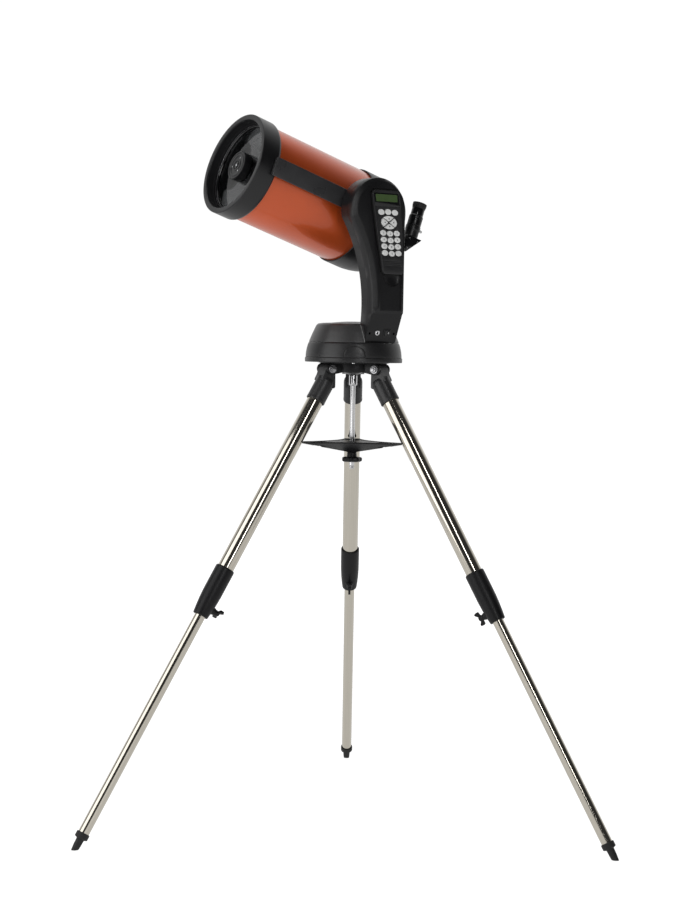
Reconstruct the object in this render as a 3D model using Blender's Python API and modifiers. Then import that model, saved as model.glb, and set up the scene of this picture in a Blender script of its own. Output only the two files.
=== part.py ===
"""Schmidt-Cassegrain telescope on a single-arm altazimuth mount and a steel tripod.

Metres, +Z up, origin on the ground under the middle of the whole instrument.
The tripod's vertical axis, which is also the azimuth axis, stands at x = 0, y = AXIS_Y.
"""
import math

import bmesh
import bpy
from mathutils import Matrix, Vector

GAP = 0.0003

# Facets round a turned piece: the tube and base, the legs and fittings, the small parts.
FINE = 36
MEDIUM = 20
COARSE = 12

# Tripod: each leg hangs from a pivot and leans outwards by LEG_ANGLE.
FOOT_RADIUS = 0.6842
LEG_TOP_RADIUS = 0.0145
LEG_TOP_HEIGHT = 1.1290
LEG_ANGLE = math.atan2(FOOT_RADIUS - LEG_TOP_RADIUS, LEG_TOP_HEIGHT)
PIVOT_RADIUS = 0.0700
PIVOT_HEIGHT = 1.0588
LEG_INSET = ((FOOT_RADIUS - PIVOT_RADIUS) * math.cos(LEG_ANGLE)
             - PIVOT_HEIGHT * math.sin(LEG_ANGLE))
LEG_LENGTH = ((FOOT_RADIUS - PIVOT_RADIUS) * math.sin(LEG_ANGLE)
              + PIVOT_HEIGHT * math.cos(LEG_ANGLE))
LEG_AZIMUTHS = (90.0, 210.0, 330.0)
AXIS_Y = -0.1708
UPPER_TUBE_R = 0.01905
UPPER_TUBE_BORE = 0.01755
LOWER_TUBE_R = 0.0127
LOWER_TUBE_BORE = 0.0112
CASTING_R = 0.0226
CASTING_END = 0.0795
COLLAR_TOP = 0.5193
COLLAR_STEP = 0.5780
COLLAR_END = 0.6417
CLAMP_AT = 0.6180
CUP_TOP = LEG_LENGTH - 0.041
EAR_INNER = 0.0182
EAR_OUTER = 0.0262
EYE_R = 0.0130
BOLT_R = 0.0040
HEAD_R = 0.0520
HEAD_TOP = 1.0742
HEAD_BOTTOM = 1.0520
ROD_R = 0.0060
ROD_END = 0.8270
TRAY_TOP = 0.8905
TRAY_TIP_R = 0.1332
TRAY_TIP_HALF = 0.0190
TRAY_HUB_BOTTOM = 0.8652
TRAY_HUB_R = 0.0125
EYEPIECE_HOLE_R = 0.01625
EYEPIECE_HOLE_AT = 0.0870
KNOB_TOP = 0.8538
KNOB_BOTTOM = 0.8421
KNOB_R = 0.0240

# Base: a fixed lower housing and a turning dome above the seam at BASE_SEAM.
BASE_BOTTOM = HEAD_TOP + GAP
PLATE_TOP = 1.0853
BASE_SEAM = 1.1204
BASE_SEAM_R = 0.1047
DOME_TOP = 1.1632
DOME_TOP_R = 0.0873
WELL_R = 0.0560
WELL_FLOOR = 1.1395
SPINDLE_R = 0.0120
AZ_GEAR_R = 0.0600
WORM_R = 0.0062

# Mount frame: +X is the way the tube points in plan, +Y is the side the arm stands on.
MOUNT_HEADING = math.radians(213.69)
ARM_IN = 0.0680
ARM_SPLIT = 0.0930
ARM_OUT = 0.1180
ARM_REAR = -0.0590
HEAD_CENTRE = (0.0135, 1.4225)
ARM_HEAD_R = 0.0725
LEDGE_Z = 1.1870
PANEL_TOP_Y = 0.1100
PANEL_FOOT_Y = 0.0945
ARM_FOOT_Z = BASE_SEAM + 0.0006
SWITCH_X = -0.0240
PANEL_TILT = math.atan2(PANEL_TOP_Y - PANEL_FOOT_Y, LEDGE_Z - ARM_FOOT_Z)
ALT_X = 0.0135
ALT_Z = 1.4276
ALT_GEAR_R = 0.0500

# Optical tube: its own frame has +X forwards along the optical axis, +Z up, +Y to the arm.
TUBE_SIDE = -0.0700
ALTITUDE = math.radians(18.6)
RIM_X = 0.2921
OTA_R = 0.1122
OTA_BORE = 0.1107
FRONT_R = 0.1196
FRONT_REAR_X = RIM_X - 0.0500
REAR_FRONT_X = RIM_X - 0.3190
REAR_END_X = RIM_X - 0.4300
REAR_R = 0.1160
CORRECTOR_X = RIM_X - 0.0310
CORRECTOR_R = 0.1035
SECONDARY_R = 0.0335
BAR_HALF = 0.0220
BAR_BACK_Y = OTA_R + 0.0084
BAR_FRONT_Y = OTA_R + 0.0125
DIAGONAL_X = REAR_END_X - 0.0850
DIAGONAL_HALF = 0.0190
EYE_TOP = 0.1060

# Hand control: its own frame has +X across, +Z along it and +Y out of its face.
CONTROL_CENTRE = (-0.0103, 1.3730)
CONTROL_SLANT = math.tan(math.radians(7.5))
CONTROL_BACK = 0.1085
CONTROL_FACE = 0.1240
KEY_HALF_W = 0.0082
KEY_HALF_H = 0.0064
KEY_PITCH_X = 0.0186
KEY_PITCH_Z = 0.0150
KEYPAD_Z = -0.0257
PAD_Z = 0.0205
MENU_Z = 0.0435
LCD_LOW = 0.0560
LCD_HIGH = 0.0865

BLACK = ("black_plastic", (0.018, 0.018, 0.020), 0.45, 0.0)
CHARCOAL = ("charcoal_paint", (0.030, 0.030, 0.033), 0.40, 0.2)
STEEL = ("stainless_tube", (0.62, 0.60, 0.56), 0.22, 1.0)
DARK_STEEL = ("dark_steel", (0.20, 0.20, 0.21), 0.35, 1.0)
CHROME = ("bright_steel", (0.75, 0.75, 0.76), 0.15, 1.0)
ALLOY = ("machined_alloy", (0.55, 0.56, 0.58), 0.30, 1.0)
BRASS = ("brass", (0.72, 0.55, 0.25), 0.30, 1.0)
RUBBER = ("rubber", (0.012, 0.012, 0.012), 0.85, 0.0)
ORANGE = ("orange_paint", (0.55, 0.12, 0.02), 0.30, 0.4)
GLASS = ("corrector_glass", (0.80, 0.85, 0.88), 0.02, 0.0)
MIRROR = ("mirror_coating", (0.85, 0.86, 0.88), 0.04, 1.0)
KEYS = ("key_silicone", (0.82, 0.83, 0.82), 0.55, 0.0)
LCD = ("lcd_window", (0.10, 0.20, 0.08), 0.15, 0.0)


def clear_scene():
    for item in list(bpy.data.objects):
        bpy.data.objects.remove(item, do_unlink=True)


def new_collection(name):
    collection = bpy.data.collections.new(name)
    bpy.context.scene.collection.children.link(collection)
    return collection


clear_scene()
PARTS = new_collection("schmidt_cassegrain_telescope")


def make_material(spec):
    name, colour, roughness, metallic = spec
    found = bpy.data.materials.get(name)
    if found:
        return found
    result = bpy.data.materials.new(name)
    result.use_nodes = True
    shader = result.node_tree.nodes["Principled BSDF"]
    shader.inputs["Base Color"].default_value = (*colour, 1.0)
    shader.inputs["Roughness"].default_value = roughness
    shader.inputs["Metallic"].default_value = metallic
    return result


def empty(name, location, rotation=(0.0, 0.0, 0.0), parent=None):
    item = bpy.data.objects.new(name, None)
    item.location = location
    item.rotation_euler = rotation
    item.parent = parent
    PARTS.objects.link(item)
    return item


def link_mesh(name, mesh):
    item = bpy.data.objects.new(name, mesh)
    PARTS.objects.link(item)
    return item


def from_bmesh(name, shape):
    mesh = bpy.data.meshes.new(name)
    shape.to_mesh(mesh)
    shape.free()
    return link_mesh(name, mesh)


def bake(item):
    """Turns an object's modifiers, or a curve, into its plain mesh."""
    bpy.context.view_layer.update()
    graph = bpy.context.evaluated_depsgraph_get()
    mesh = bpy.data.meshes.new_from_object(item.evaluated_get(graph))
    if item.type == "CURVE":
        name = item.name
        shape = bmesh.new()
        shape.from_mesh(mesh)
        bmesh.ops.remove_doubles(shape, verts=shape.verts, dist=0.000001)
        shape.to_mesh(mesh)
        shape.free()
        bpy.data.objects.remove(item, do_unlink=True)
        return link_mesh(name, mesh)
    item.modifiers.clear()
    item.data = mesh
    return item


def moved(item, matrix):
    item.data.transform(matrix)
    return item


def shift(item, x=0.0, y=0.0, z=0.0):
    return moved(item, Matrix.Translation((x, y, z)))


def turned_to(item, degrees, axis):
    return moved(item, Matrix.Rotation(math.radians(degrees), 4, axis))


def box(name, low, high):
    shape = bmesh.new()
    bmesh.ops.create_cube(shape, size=1.0)
    size = Vector(high) - Vector(low)
    middle = (Vector(high) + Vector(low)) / 2
    shape.transform(Matrix.Translation(middle) @ Matrix.Diagonal((*size, 1.0)))
    return from_bmesh(name, shape)


def cylinder(name, radius, z0, z1, segments=32, top_radius=None):
    shape = bmesh.new()
    end_radius = radius if top_radius is None else top_radius
    bmesh.ops.create_cone(shape, cap_ends=True, segments=segments, radius1=radius,
                          radius2=end_radius, depth=z1 - z0)
    shape.transform(Matrix.Translation((0.0, 0.0, (z0 + z1) / 2)))
    return from_bmesh(name, shape)


def turned(name, profile, segments=48, closed=False):
    """A profile of (radius, height) points, running down its outer side."""
    mesh = bpy.data.meshes.new(name)
    count = len(profile)
    edges = [(i, i + 1) for i in range(count - 1)]
    if closed:
        edges.append((count - 1, 0))
    mesh.from_pydata([(radius, 0.0, height) for radius, height in profile], edges, [])
    item = link_mesh(name, mesh)
    screw = item.modifiers.new("Screw", "SCREW")
    screw.steps = segments
    screw.render_steps = segments
    screw.use_merge_vertices = True
    screw.merge_threshold = 0.00001
    return bake(item)


def plate(name, outline, z0, z1):
    """A flat outline of (x, y) points, between two heights."""
    curve = bpy.data.curves.new(name, "CURVE")
    curve.dimensions = "2D"
    curve.fill_mode = "BOTH"
    curve.extrude = (z1 - z0) / 2
    spline = curve.splines.new("POLY")
    spline.points.add(len(outline) - 1)
    for point, (x, y) in zip(spline.points, outline):
        point.co = (x, y, 0.0, 1.0)
    spline.use_cyclic_u = True
    item = bpy.data.objects.new(name, curve)
    PARTS.objects.link(item)
    return shift(bake(item), z=(z0 + z1) / 2)


def wall(name, outline, y0, y1):
    """A plate standing up: the outline is in X and Z, and its thickness is along Y."""
    return turned_to(plate(name, outline, -y1, -y0), 90, "X")


def combine(item, other, operation):
    modifier = item.modifiers.new("Boolean", "BOOLEAN")
    modifier.operation = operation
    modifier.object = other
    modifier.solver = "EXACT"
    result = bake(item)
    bpy.data.objects.remove(other, do_unlink=True)
    return result


def cut(item, *cutters):
    for cutter in cutters:
        combine(item, cutter, "DIFFERENCE")
    return item


def join(item, *others):
    for other in others:
        combine(item, other, "UNION")
    return item


def bevelled(item, width, segments=2, angle=40.0):
    modifier = item.modifiers.new("Bevel", "BEVEL")
    modifier.width = width
    modifier.segments = segments
    modifier.limit_method = "ANGLE"
    modifier.angle_limit = math.radians(angle)
    return bake(item)


def place(item, spec, parent, location=(0.0, 0.0, 0.0), rotation=(0.0, 0.0, 0.0)):
    """Gives a finished piece its material, its smooth shading and its place."""
    item.data.materials.clear()
    item.data.materials.append(make_material(spec))
    item.data.shade_smooth()
    item.data.set_sharp_from_angle(angle=math.radians(32))
    item.parent = parent
    item.location = location
    item.rotation_euler = rotation
    return item


def arc(centre, radius, start, end, steps):
    """Points on an arc, angles in degrees, both ends included."""
    points = []
    for i in range(steps + 1):
        angle = math.radians(start + (end - start) * i / steps)
        points.append((centre[0] + radius * math.cos(angle), centre[1] + radius * math.sin(angle)))
    return points


def bezier(p0, p1, p2, p3, steps):
    """Points on a cubic curve, its first point left out."""
    points = []
    for i in range(1, steps + 1):
        t = i / steps
        s = 1 - t
        weights = (s * s * s, 3 * s * s * t, 3 * s * t * t, t * t * t)
        pairs = (p0, p1, p2, p3)
        points.append(tuple(sum(w * p[k] for w, p in zip(weights, pairs)) for k in (0, 1)))
    return points


# ---------------------------------------------------------------- tripod

def ear(name, side):
    """One of the two lugs that hold a leg's eye; side is +1 or -1."""
    reach = PIVOT_RADIUS
    outline = [(0.030, HEAD_TOP - 0.0004), (reach, PIVOT_HEIGHT + EYE_R)]
    outline += arc((reach, PIVOT_HEIGHT), EYE_R, 75, -100, 5)
    outline += [(0.048, HEAD_BOTTOM - 0.002), (0.030, HEAD_BOTTOM + 0.001)]
    low, high = sorted((side * EAR_INNER, side * EAR_OUTER))
    return wall(name, outline, low, high)


def tripod_head(parent):
    head = turned("tripod_head", [(0.0, HEAD_TOP), (HEAD_R - 0.002, HEAD_TOP),
                                  (HEAD_R, HEAD_TOP - 0.002), (HEAD_R, HEAD_BOTTOM),
                                  (0.0, HEAD_BOTTOM)], FINE)
    for azimuth in LEG_AZIMUTHS:
        for side in (-1, 1):
            join(head, turned_to(ear("ear", side), azimuth, "Z"))
        hole = turned_to(cylinder("hole", BOLT_R + GAP, -0.04, 0.04, COARSE), 90, "X")
        shift(hole, x=PIVOT_RADIUS, z=PIVOT_HEIGHT)
        cut(head, turned_to(hole, azimuth, "Z"))
    return place(head, CHARCOAL, parent)


def center_rod(parent):
    top = HEAD_BOTTOM - GAP
    rod = turned("center_rod", [(0.0, top), (0.024, top), (0.0245, top - 0.004),
                                (0.0100, top - 0.012), (0.0100, 1.0200), (ROD_R, 1.0170),
                                (ROD_R, ROD_END + 0.001), (ROD_R - 0.001, ROD_END),
                                (0.0, ROD_END)], COARSE)
    return place(rod, CHROME, parent)


def tray_outline():
    """Three arms with concave sides, corner to corner."""
    points = []
    for i in range(3):
        a = math.radians(LEG_AZIMUTHS[i])
        b = math.radians(LEG_AZIMUTHS[i] + 120)
        along_a = Vector((math.cos(a), math.sin(a)))
        along_b = Vector((math.cos(b), math.sin(b)))
        side_a = Vector((-along_a.y, along_a.x)) * TRAY_TIP_HALF
        side_b = Vector((-along_b.y, along_b.x)) * TRAY_TIP_HALF
        start = along_a * TRAY_TIP_R + side_a
        end = along_b * TRAY_TIP_R - side_b
        inner_a = along_a * 0.060 + side_a * 1.25
        inner_b = along_b * 0.060 - side_b * 1.25
        points.append(tuple(start))
        points += bezier(start, inner_a, inner_b, end, 8)
    return points


def accessory_tray(parent):
    """A flat top whose underside slopes down to a round hub."""
    outline = tray_outline()
    shape = bmesh.new()
    hub = []
    rim = []
    top = []
    for x, y in outline:
        length = math.hypot(x, y)
        hub_point = (x / length * TRAY_HUB_R, y / length * TRAY_HUB_R, TRAY_HUB_BOTTOM)
        hub.append(shape.verts.new(hub_point))
        rim.append(shape.verts.new((x, y, TRAY_TOP - 0.003)))
        top.append(shape.verts.new((x, y, TRAY_TOP)))
    count = len(outline)
    for lower, upper in ((hub, rim), (rim, top)):
        for i in range(count):
            j = (i + 1) % count
            shape.faces.new((lower[i], lower[j], upper[j], upper[i]))
    shape.faces.new(top)
    shape.faces.new(list(reversed(hub)))
    bmesh.ops.recalc_face_normals(shape, faces=shape.faces)
    tray = from_bmesh("accessory_tray", shape)
    cut(tray, cylinder("bore", ROD_R + GAP, TRAY_HUB_BOTTOM - 0.01, TRAY_TOP + 0.01, COARSE))
    for azimuth in LEG_AZIMUTHS:
        hole = cylinder("hole", EYEPIECE_HOLE_R, TRAY_HUB_BOTTOM - 0.01, TRAY_TOP + 0.01, MEDIUM)
        shift(hole, x=EYEPIECE_HOLE_AT)
        cut(tray, turned_to(hole, azimuth, "Z"))
    return place(tray, BLACK, parent)


def tray_knob(parent):
    outline = []
    lobes = 7
    steps = lobes * 4
    for i in range(steps):
        angle = 2 * math.pi * i / steps
        radius = KNOB_R - 0.0022 * (1 - math.cos(lobes * angle)) / 2
        outline.append((radius * math.cos(angle), radius * math.sin(angle)))
    knob = plate("tray_knob", outline, KNOB_BOTTOM, KNOB_TOP)
    join(knob, cylinder("neck", 0.0113, KNOB_TOP - 0.004, TRAY_HUB_BOTTOM - GAP, COARSE))
    cut(knob, cylinder("bore", ROD_R + GAP, KNOB_BOTTOM - 0.01, TRAY_HUB_BOTTOM + 0.01, COARSE))
    return place(knob, BLACK, parent)


def leg_top_casting(name, parent):
    """The eye between the head's ears, running into the socket of the upper tube."""
    socket = cylinder(name, CASTING_R, -CASTING_END, -0.0190, MEDIUM, CASTING_R - 0.0012)
    shift(socket, x=LEG_INSET)
    outline = arc((0.0, 0.0), EYE_R - 0.0006, -20, 160, 6)
    outline += [(LEG_INSET - 0.0150, -0.0210), (LEG_INSET - 0.0200, -0.0300)]
    outline += [(LEG_INSET + 0.0200, -0.0300), (LEG_INSET + 0.0205, -0.0200)]
    join(socket, wall("eye", outline, -EAR_INNER + GAP, EAR_INNER - GAP))
    bore = cylinder("bore", UPPER_TUBE_R + GAP, -CASTING_END - 0.01, -0.0235, MEDIUM)
    cut(socket, shift(bore, x=LEG_INSET))
    hole = turned_to(cylinder("hole", BOLT_R + GAP, -0.04, 0.04, COARSE), 90, "X")
    cut(socket, hole)
    return place(socket, CHARCOAL, parent)


def leg_pivot_bolt(name, parent):
    """A through bolt with a six-sided head and nut."""
    bolt = cylinder(name, BOLT_R, -0.0360, 0.0360, COARSE)
    for z0, z1 in ((-0.0330, -EAR_OUTER - GAP), (EAR_OUTER + GAP, 0.0330)):
        join(bolt, cylinder("nut", 0.0078, z0, z1, 6))
    turned_to(bolt, 90, "X")
    return place(bolt, CHROME, parent)


def leg_upper_tube(name, parent):
    profile = [(UPPER_TUBE_R, -0.0240), (UPPER_TUBE_R, -COLLAR_STEP + GAP),
               (UPPER_TUBE_BORE, -COLLAR_STEP + GAP), (UPPER_TUBE_BORE, -0.0240)]
    tube = turned(name, profile, MEDIUM, closed=True)
    return place(tube, STEEL, parent, (LEG_INSET, 0.0, 0.0))


def leg_clamp_collar(name, parent):
    """A moulded collar over both tubes, with a boss for the clamp screw on its inner side."""
    bore = UPPER_TUBE_R + GAP
    neck = LOWER_TUBE_R + GAP
    profile = [(0.0215, -COLLAR_TOP), (0.0226, -COLLAR_TOP - 0.003), (0.0226, -0.5950),
               (0.0188, -0.6300), (0.0174, -COLLAR_END), (neck, -COLLAR_END),
               (neck, -COLLAR_STEP), (bore, -COLLAR_STEP), (bore, -COLLAR_TOP)]
    collar = turned(name, profile, MEDIUM, closed=True)
    boss = turned_to(cylinder("boss", 0.0085, 0.0150, 0.0268, COARSE), -90, "Y")
    join(collar, shift(boss, z=-CLAMP_AT))
    screw_hole = turned_to(cylinder("hole", 0.0033, 0.0050, 0.0400, 8), -90, "Y")
    cut(collar, shift(screw_hole, z=-CLAMP_AT))
    return place(collar, BLACK, parent, (LEG_INSET, 0.0, 0.0))


def leg_clamp_knob(name, parent):
    """A wing knob on the clamp screw, its own frame on the screw's axis."""
    stem = cylinder(name, 0.0030, LOWER_TUBE_R + GAP, 0.0330, 8)
    join(stem, cylinder("hub", 0.0070, 0.0272, 0.0400, COARSE, 0.0058))
    wings = plate("wings", [(-0.0165, -0.0030), (0.0165, -0.0030), (0.0165, 0.0030),
                            (-0.0165, 0.0030)], 0.0325, 0.0450)
    join(stem, bevelled(wings, 0.0015, 1))
    turned_to(stem, -90, "Y")
    return place(stem, BLACK, parent, (LEG_INSET, 0.0, -CLAMP_AT))


def leg_lower_tube(name, parent):
    """The sliding tube, with the bush that stops it from pulling out of the collar."""
    bush = UPPER_TUBE_BORE - GAP
    bush_low = -COLLAR_STEP + GAP
    bush_top = bush_low + 0.020
    profile = [(bush, bush_top), (bush, bush_low), (LOWER_TUBE_R, bush_low),
               (LOWER_TUBE_R, -CUP_TOP - 0.0100), (LOWER_TUBE_BORE, -CUP_TOP - 0.0100),
               (LOWER_TUBE_BORE, bush_top)]
    tube = turned(name, profile, 16, closed=True)
    return place(tube, STEEL, parent, (LEG_INSET, 0.0, 0.0))


def leg_foot(name, parent):
    """A cup on the tube's end and a tapered tip, cut off level with the ground."""
    cup = LOWER_TUBE_R + GAP
    profile = [(0.0148, -CUP_TOP), (0.0152, -CUP_TOP - 0.0120), (0.0090, -CUP_TOP - 0.0150),
               (0.0088, -CUP_TOP - 0.0300), (0.0066, -LEG_LENGTH - 0.0100),
               (0.0, -LEG_LENGTH - 0.0100), (0.0, -CUP_TOP - 0.0110),
               (cup, -CUP_TOP - 0.0110), (cup, -CUP_TOP)]
    foot = turned(name, profile, 16)
    shape = bmesh.new()
    shape.from_mesh(foot.data)
    ends = [edge for edge in shape.edges if edge.is_boundary]
    bmesh.ops.bridge_loops(shape, edges=ends)
    bmesh.ops.recalc_face_normals(shape, faces=shape.faces)
    shape.to_mesh(foot.data)
    shape.free()
    ground = box("ground", (-0.05, -0.05, -0.05), (0.05, 0.05, 0.0))
    turned_to(ground, math.degrees(LEG_ANGLE), "Y")
    cut(foot, shift(ground, z=-LEG_LENGTH))
    return place(foot, RUBBER, parent, (LEG_INSET, 0.0, 0.0))


def tripod(axis):
    tripod_head(axis)
    center_rod(axis)
    accessory_tray(axis)
    tray_knob(axis)
    for i, azimuth in enumerate(LEG_AZIMUTHS):
        leg = "leg_%d" % (i + 1)
        angle = math.radians(azimuth)
        spot = (PIVOT_RADIUS * math.cos(angle), PIVOT_RADIUS * math.sin(angle), PIVOT_HEIGHT)
        pivot = empty(leg + "_pivot", spot, (0.0, -LEG_ANGLE, angle), axis)
        leg_pivot_bolt(leg + "_pivot_bolt", pivot)
        leg_top_casting(leg + "_top_casting", pivot)
        leg_upper_tube(leg + "_upper_tube", pivot)
        leg_clamp_collar(leg + "_clamp_collar", pivot)
        leg_clamp_knob(leg + "_clamp_knob", pivot)
        leg_lower_tube(leg + "_lower_tube", pivot)
        leg_foot(leg + "_foot", pivot)


# ---------------------------------------------------------------- base

def gear_disc(name, radius, z0, z1, teeth, bore):
    outline = []
    for i in range(teeth):
        for part, depth in ((0.0, 0.0), (0.5, 0.0018)):
            angle = 2 * math.pi * (i + part) / teeth
            reach = radius - depth
            outline.append((reach * math.cos(angle), reach * math.sin(angle)))
    disc = plate(name, outline, z0, z1)
    return cut(disc, cylinder("bore", bore, z0 - 0.01, z1 + 0.01, MEDIUM))


def worm(name, length):
    """A grooved worm with its shaft, turned about its own Z axis."""
    half = length / 2
    profile = [(0.0, half + 0.008), (0.0025, half + 0.008), (0.0025, half)]
    turns = 5
    for i in range(turns):
        height = half - length * i / turns
        profile += [(WORM_R, height - length / turns * 0.3),
                    (WORM_R - 0.0016, height - length / turns * 0.8)]
    profile += [(0.0025, -half - 0.0005), (0.0025, -half - 0.008), (0.0, -half - 0.008)]
    return turned(name, profile, COARSE)


def base_bottom_plate(axis):
    profile = [(0.0, 1.1350), (SPINDLE_R, 1.1350), (SPINDLE_R, 1.0795), (0.1075, 1.0795),
               (0.1075, PLATE_TOP), (0.1125, PLATE_TOP), (0.1134, BASE_BOTTOM + 0.002),
               (0.1134, BASE_BOTTOM), (0.0, BASE_BOTTOM)]
    return place(turned("base_bottom_plate", profile, FINE), CHARCOAL, axis)


def base_housing(axis):
    profile = [(BASE_SEAM_R, BASE_SEAM - GAP), (0.1082, 1.1110), (0.1108, 1.0990),
               (0.1119, PLATE_TOP + GAP), (0.1085, PLATE_TOP + GAP), (0.1078, 1.0980),
               (0.1052, 1.1095), (0.1030, 1.1171), (0.0860, 1.1171), (0.0860, BASE_SEAM - GAP)]
    return place(turned("base_housing", profile, FINE, closed=True), BLACK, axis)


def azimuth_drive(axis, mount):
    place(gear_disc("azimuth_gear", AZ_GEAR_R, 1.1000, 1.1100, FINE, SPINDLE_R + GAP), BRASS, axis)
    worm_y = -AZ_GEAR_R - WORM_R - 0.0005
    place(worm("azimuth_worm", 0.024), DARK_STEEL, mount, (0.0, worm_y, 1.1050),
          (0.0, math.pi / 2, 0.0))


def turntable_dome(mount):
    """The turning upper shell, with the battery well and the bearing sleeve inside it."""
    profile = [(0.0, WELL_FLOOR), (WELL_R, WELL_FLOOR), (WELL_R, DOME_TOP + 0.0024),
               (0.0720, DOME_TOP + 0.0018), (DOME_TOP_R - 0.003, DOME_TOP),
               (DOME_TOP_R + 0.0006, DOME_TOP - 0.0035), (BASE_SEAM_R, BASE_SEAM + GAP),
               (BASE_SEAM_R - 0.003, BASE_SEAM + GAP), (DOME_TOP_R - 0.002, DOME_TOP - 0.0045),
               (WELL_R + 0.003, DOME_TOP - 0.0020), (WELL_R + 0.003, WELL_FLOOR - 0.0030),
               (0.0170, WELL_FLOOR - 0.0030), (0.0170, 1.1160), (SPINDLE_R + GAP, 1.1160),
               (SPINDLE_R + GAP, WELL_FLOOR - 0.0035), (0.0, WELL_FLOOR - 0.0035)]
    dome = turned("turntable_dome", profile, FINE)
    notch = box("notch", (ARM_REAR - 0.0006, ARM_IN - 0.0006, BASE_SEAM - 0.01),
                (0.0402, 0.14, 1.20))
    return place(cut(dome, notch), BLACK, mount)


def battery_cover(mount):
    profile = [(0.0, DOME_TOP + 0.0058), (0.0300, DOME_TOP + 0.0050),
               (0.0520, DOME_TOP + 0.0028), (WELL_R - GAP, DOME_TOP + 0.0010),
               (WELL_R - GAP, 1.1560), (WELL_R - 0.003, 1.1560), (WELL_R - 0.003, 1.1590),
               (0.0, 1.1590)]
    cover = turned("battery_cover", profile, FINE)
    tab = box("tab", (-0.009, -0.0546, DOME_TOP - 0.0005), (0.009, -0.0480, DOME_TOP + 0.01))
    return place(cut(cover, tab), BLACK, mount)


# ---------------------------------------------------------------- arm

def arm_outline(inset=0.0):
    """The arm seen from its outer side, in X and Z, going round from its front foot."""
    foot = (0.0345 - inset, ARM_FOOT_Z + inset)
    centre = HEAD_CENTRE
    radius = ARM_HEAD_R - inset
    head = arc(centre, radius, -15, 180, 16)
    points = [foot]
    points += bezier(foot, (0.0200 - inset, 1.2000), (0.0190 - inset, 1.3000), head[0], 8)
    points += head[1:]
    points += [(ARM_REAR + inset, 1.3400), (ARM_REAR + inset, ARM_FOOT_Z + inset)]
    return points


def panel_wedge(name, clear):
    """What is cut off the arm's foot, below the ledge and outside the sloping panel."""
    slope = math.tan(PANEL_TILT)
    low = 1.10
    outline = [(PANEL_TOP_Y + clear, LEDGE_Z), (0.15, LEDGE_Z), (0.15, low),
               (PANEL_TOP_Y + clear - (LEDGE_Z - low) * slope, low)]
    wedge = wall(name, outline, -0.12, 0.12)
    return turned_to(wedge, 90, "Z")


def control_outline(grow=0.0):
    """The hand control seen from its face, in its own X and Z."""
    corners = [(0.0370, 0.0600), (0.0345, 0.0000), (0.0300, -0.0600), (0.0285, -0.0930)]
    right = []
    right += arc((0.0270, 0.0830), 0.0100 + grow, 90, 0, 4)
    right += [(x + grow, z) for x, z in corners[:3]]
    right += arc((0.0205, -0.0880), 0.0080 + grow, 0, -90, 4)
    left = [(-x, z) for x, z in reversed(right)]
    return right + left


def slanted(item):
    """Slants a piece with the hand control, whose rows of keys stay level."""
    item.data.transform(Matrix(((1, 0, CONTROL_SLANT, 0), (0, 1, 0, 0), (0, 0, 1, 0),
                                (0, 0, 0, 1))))
    return item


def to_control(item):
    """Slants a piece with the hand control and carries it to its place on the arm."""
    return shift(slanted(item), x=CONTROL_CENTRE[0], z=CONTROL_CENTRE[1])


def arm_outer_shell(mount):
    shell = wall("arm_outer_shell", arm_outline(), ARM_SPLIT + GAP, ARM_OUT)
    bevelled(shell, 0.0035, 2, 60)
    cradle = wall("cradle", control_outline(0.0008), CONTROL_BACK - GAP, 0.15)
    cut(shell, panel_wedge("wedge", 0.0), to_control(cradle))
    scoop = bmesh.new()
    bmesh.ops.create_uvsphere(scoop, u_segments=12, v_segments=8, radius=0.0200)
    scoop.transform(Matrix.Diagonal((0.85, 0.45, 1.0, 1.0)))
    hollow = shift(from_bmesh("scoop", scoop), x=0.0, y=0.1205, z=-0.1020)
    cut(shell, to_control(hollow))
    pocket_head = turned_to(cylinder("pocket", 0.0620, -0.1040, -0.0800, 24), 90, "X")
    shift(pocket_head, x=HEAD_CENTRE[0], y=0.0, z=HEAD_CENTRE[1])
    pocket_low = box("pocket_low", (-0.0480, 0.0800, 1.2300), (0.0180, 0.1040, 1.4000))
    jack = panel_tool(cylinder("jack_hole", 0.0050, -0.012, 0.02, COARSE), 0.0030)
    switch = panel_tool(box("switch_hole", (-0.0080, -0.0070, -0.0100), (0.0080, 0.0070, 0.02)),
                        SWITCH_X)
    cut(shell, pocket_head, pocket_low, jack, switch)
    return place(shell, BLACK, mount)


def panel_tool(item, x):
    """Carries a piece built along +Z, out of the sloping panel, to its place."""
    turned_to(item, -90, "X")
    turned_to(item, -math.degrees(PANEL_TILT), "X")
    drop = LEDGE_Z - 1.1437
    return shift(item, x=x, y=PANEL_TOP_Y - drop * math.tan(PANEL_TILT), z=1.1437)


def arm_inner_shell(mount):
    shell = wall("arm_inner_shell", arm_outline(), ARM_IN, ARM_SPLIT)
    bevelled(shell, 0.0030, 2, 60)
    pocket_head = turned_to(cylinder("pocket", 0.0620, -0.1000, -0.0720, 24), 90, "X")
    shift(pocket_head, x=HEAD_CENTRE[0], z=HEAD_CENTRE[1])
    pocket_low = box("pocket_low", (-0.0480, 0.0720, 1.2300), (0.0180, 0.1000, 1.4000))
    bore = turned_to(cylinder("bore", 0.0125, -0.0800, -0.0600, MEDIUM), 90, "X")
    shift(bore, x=ALT_X, z=ALT_Z)
    cut(shell, pocket_head, pocket_low, bore)
    return place(shell, BLACK, mount)


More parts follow.
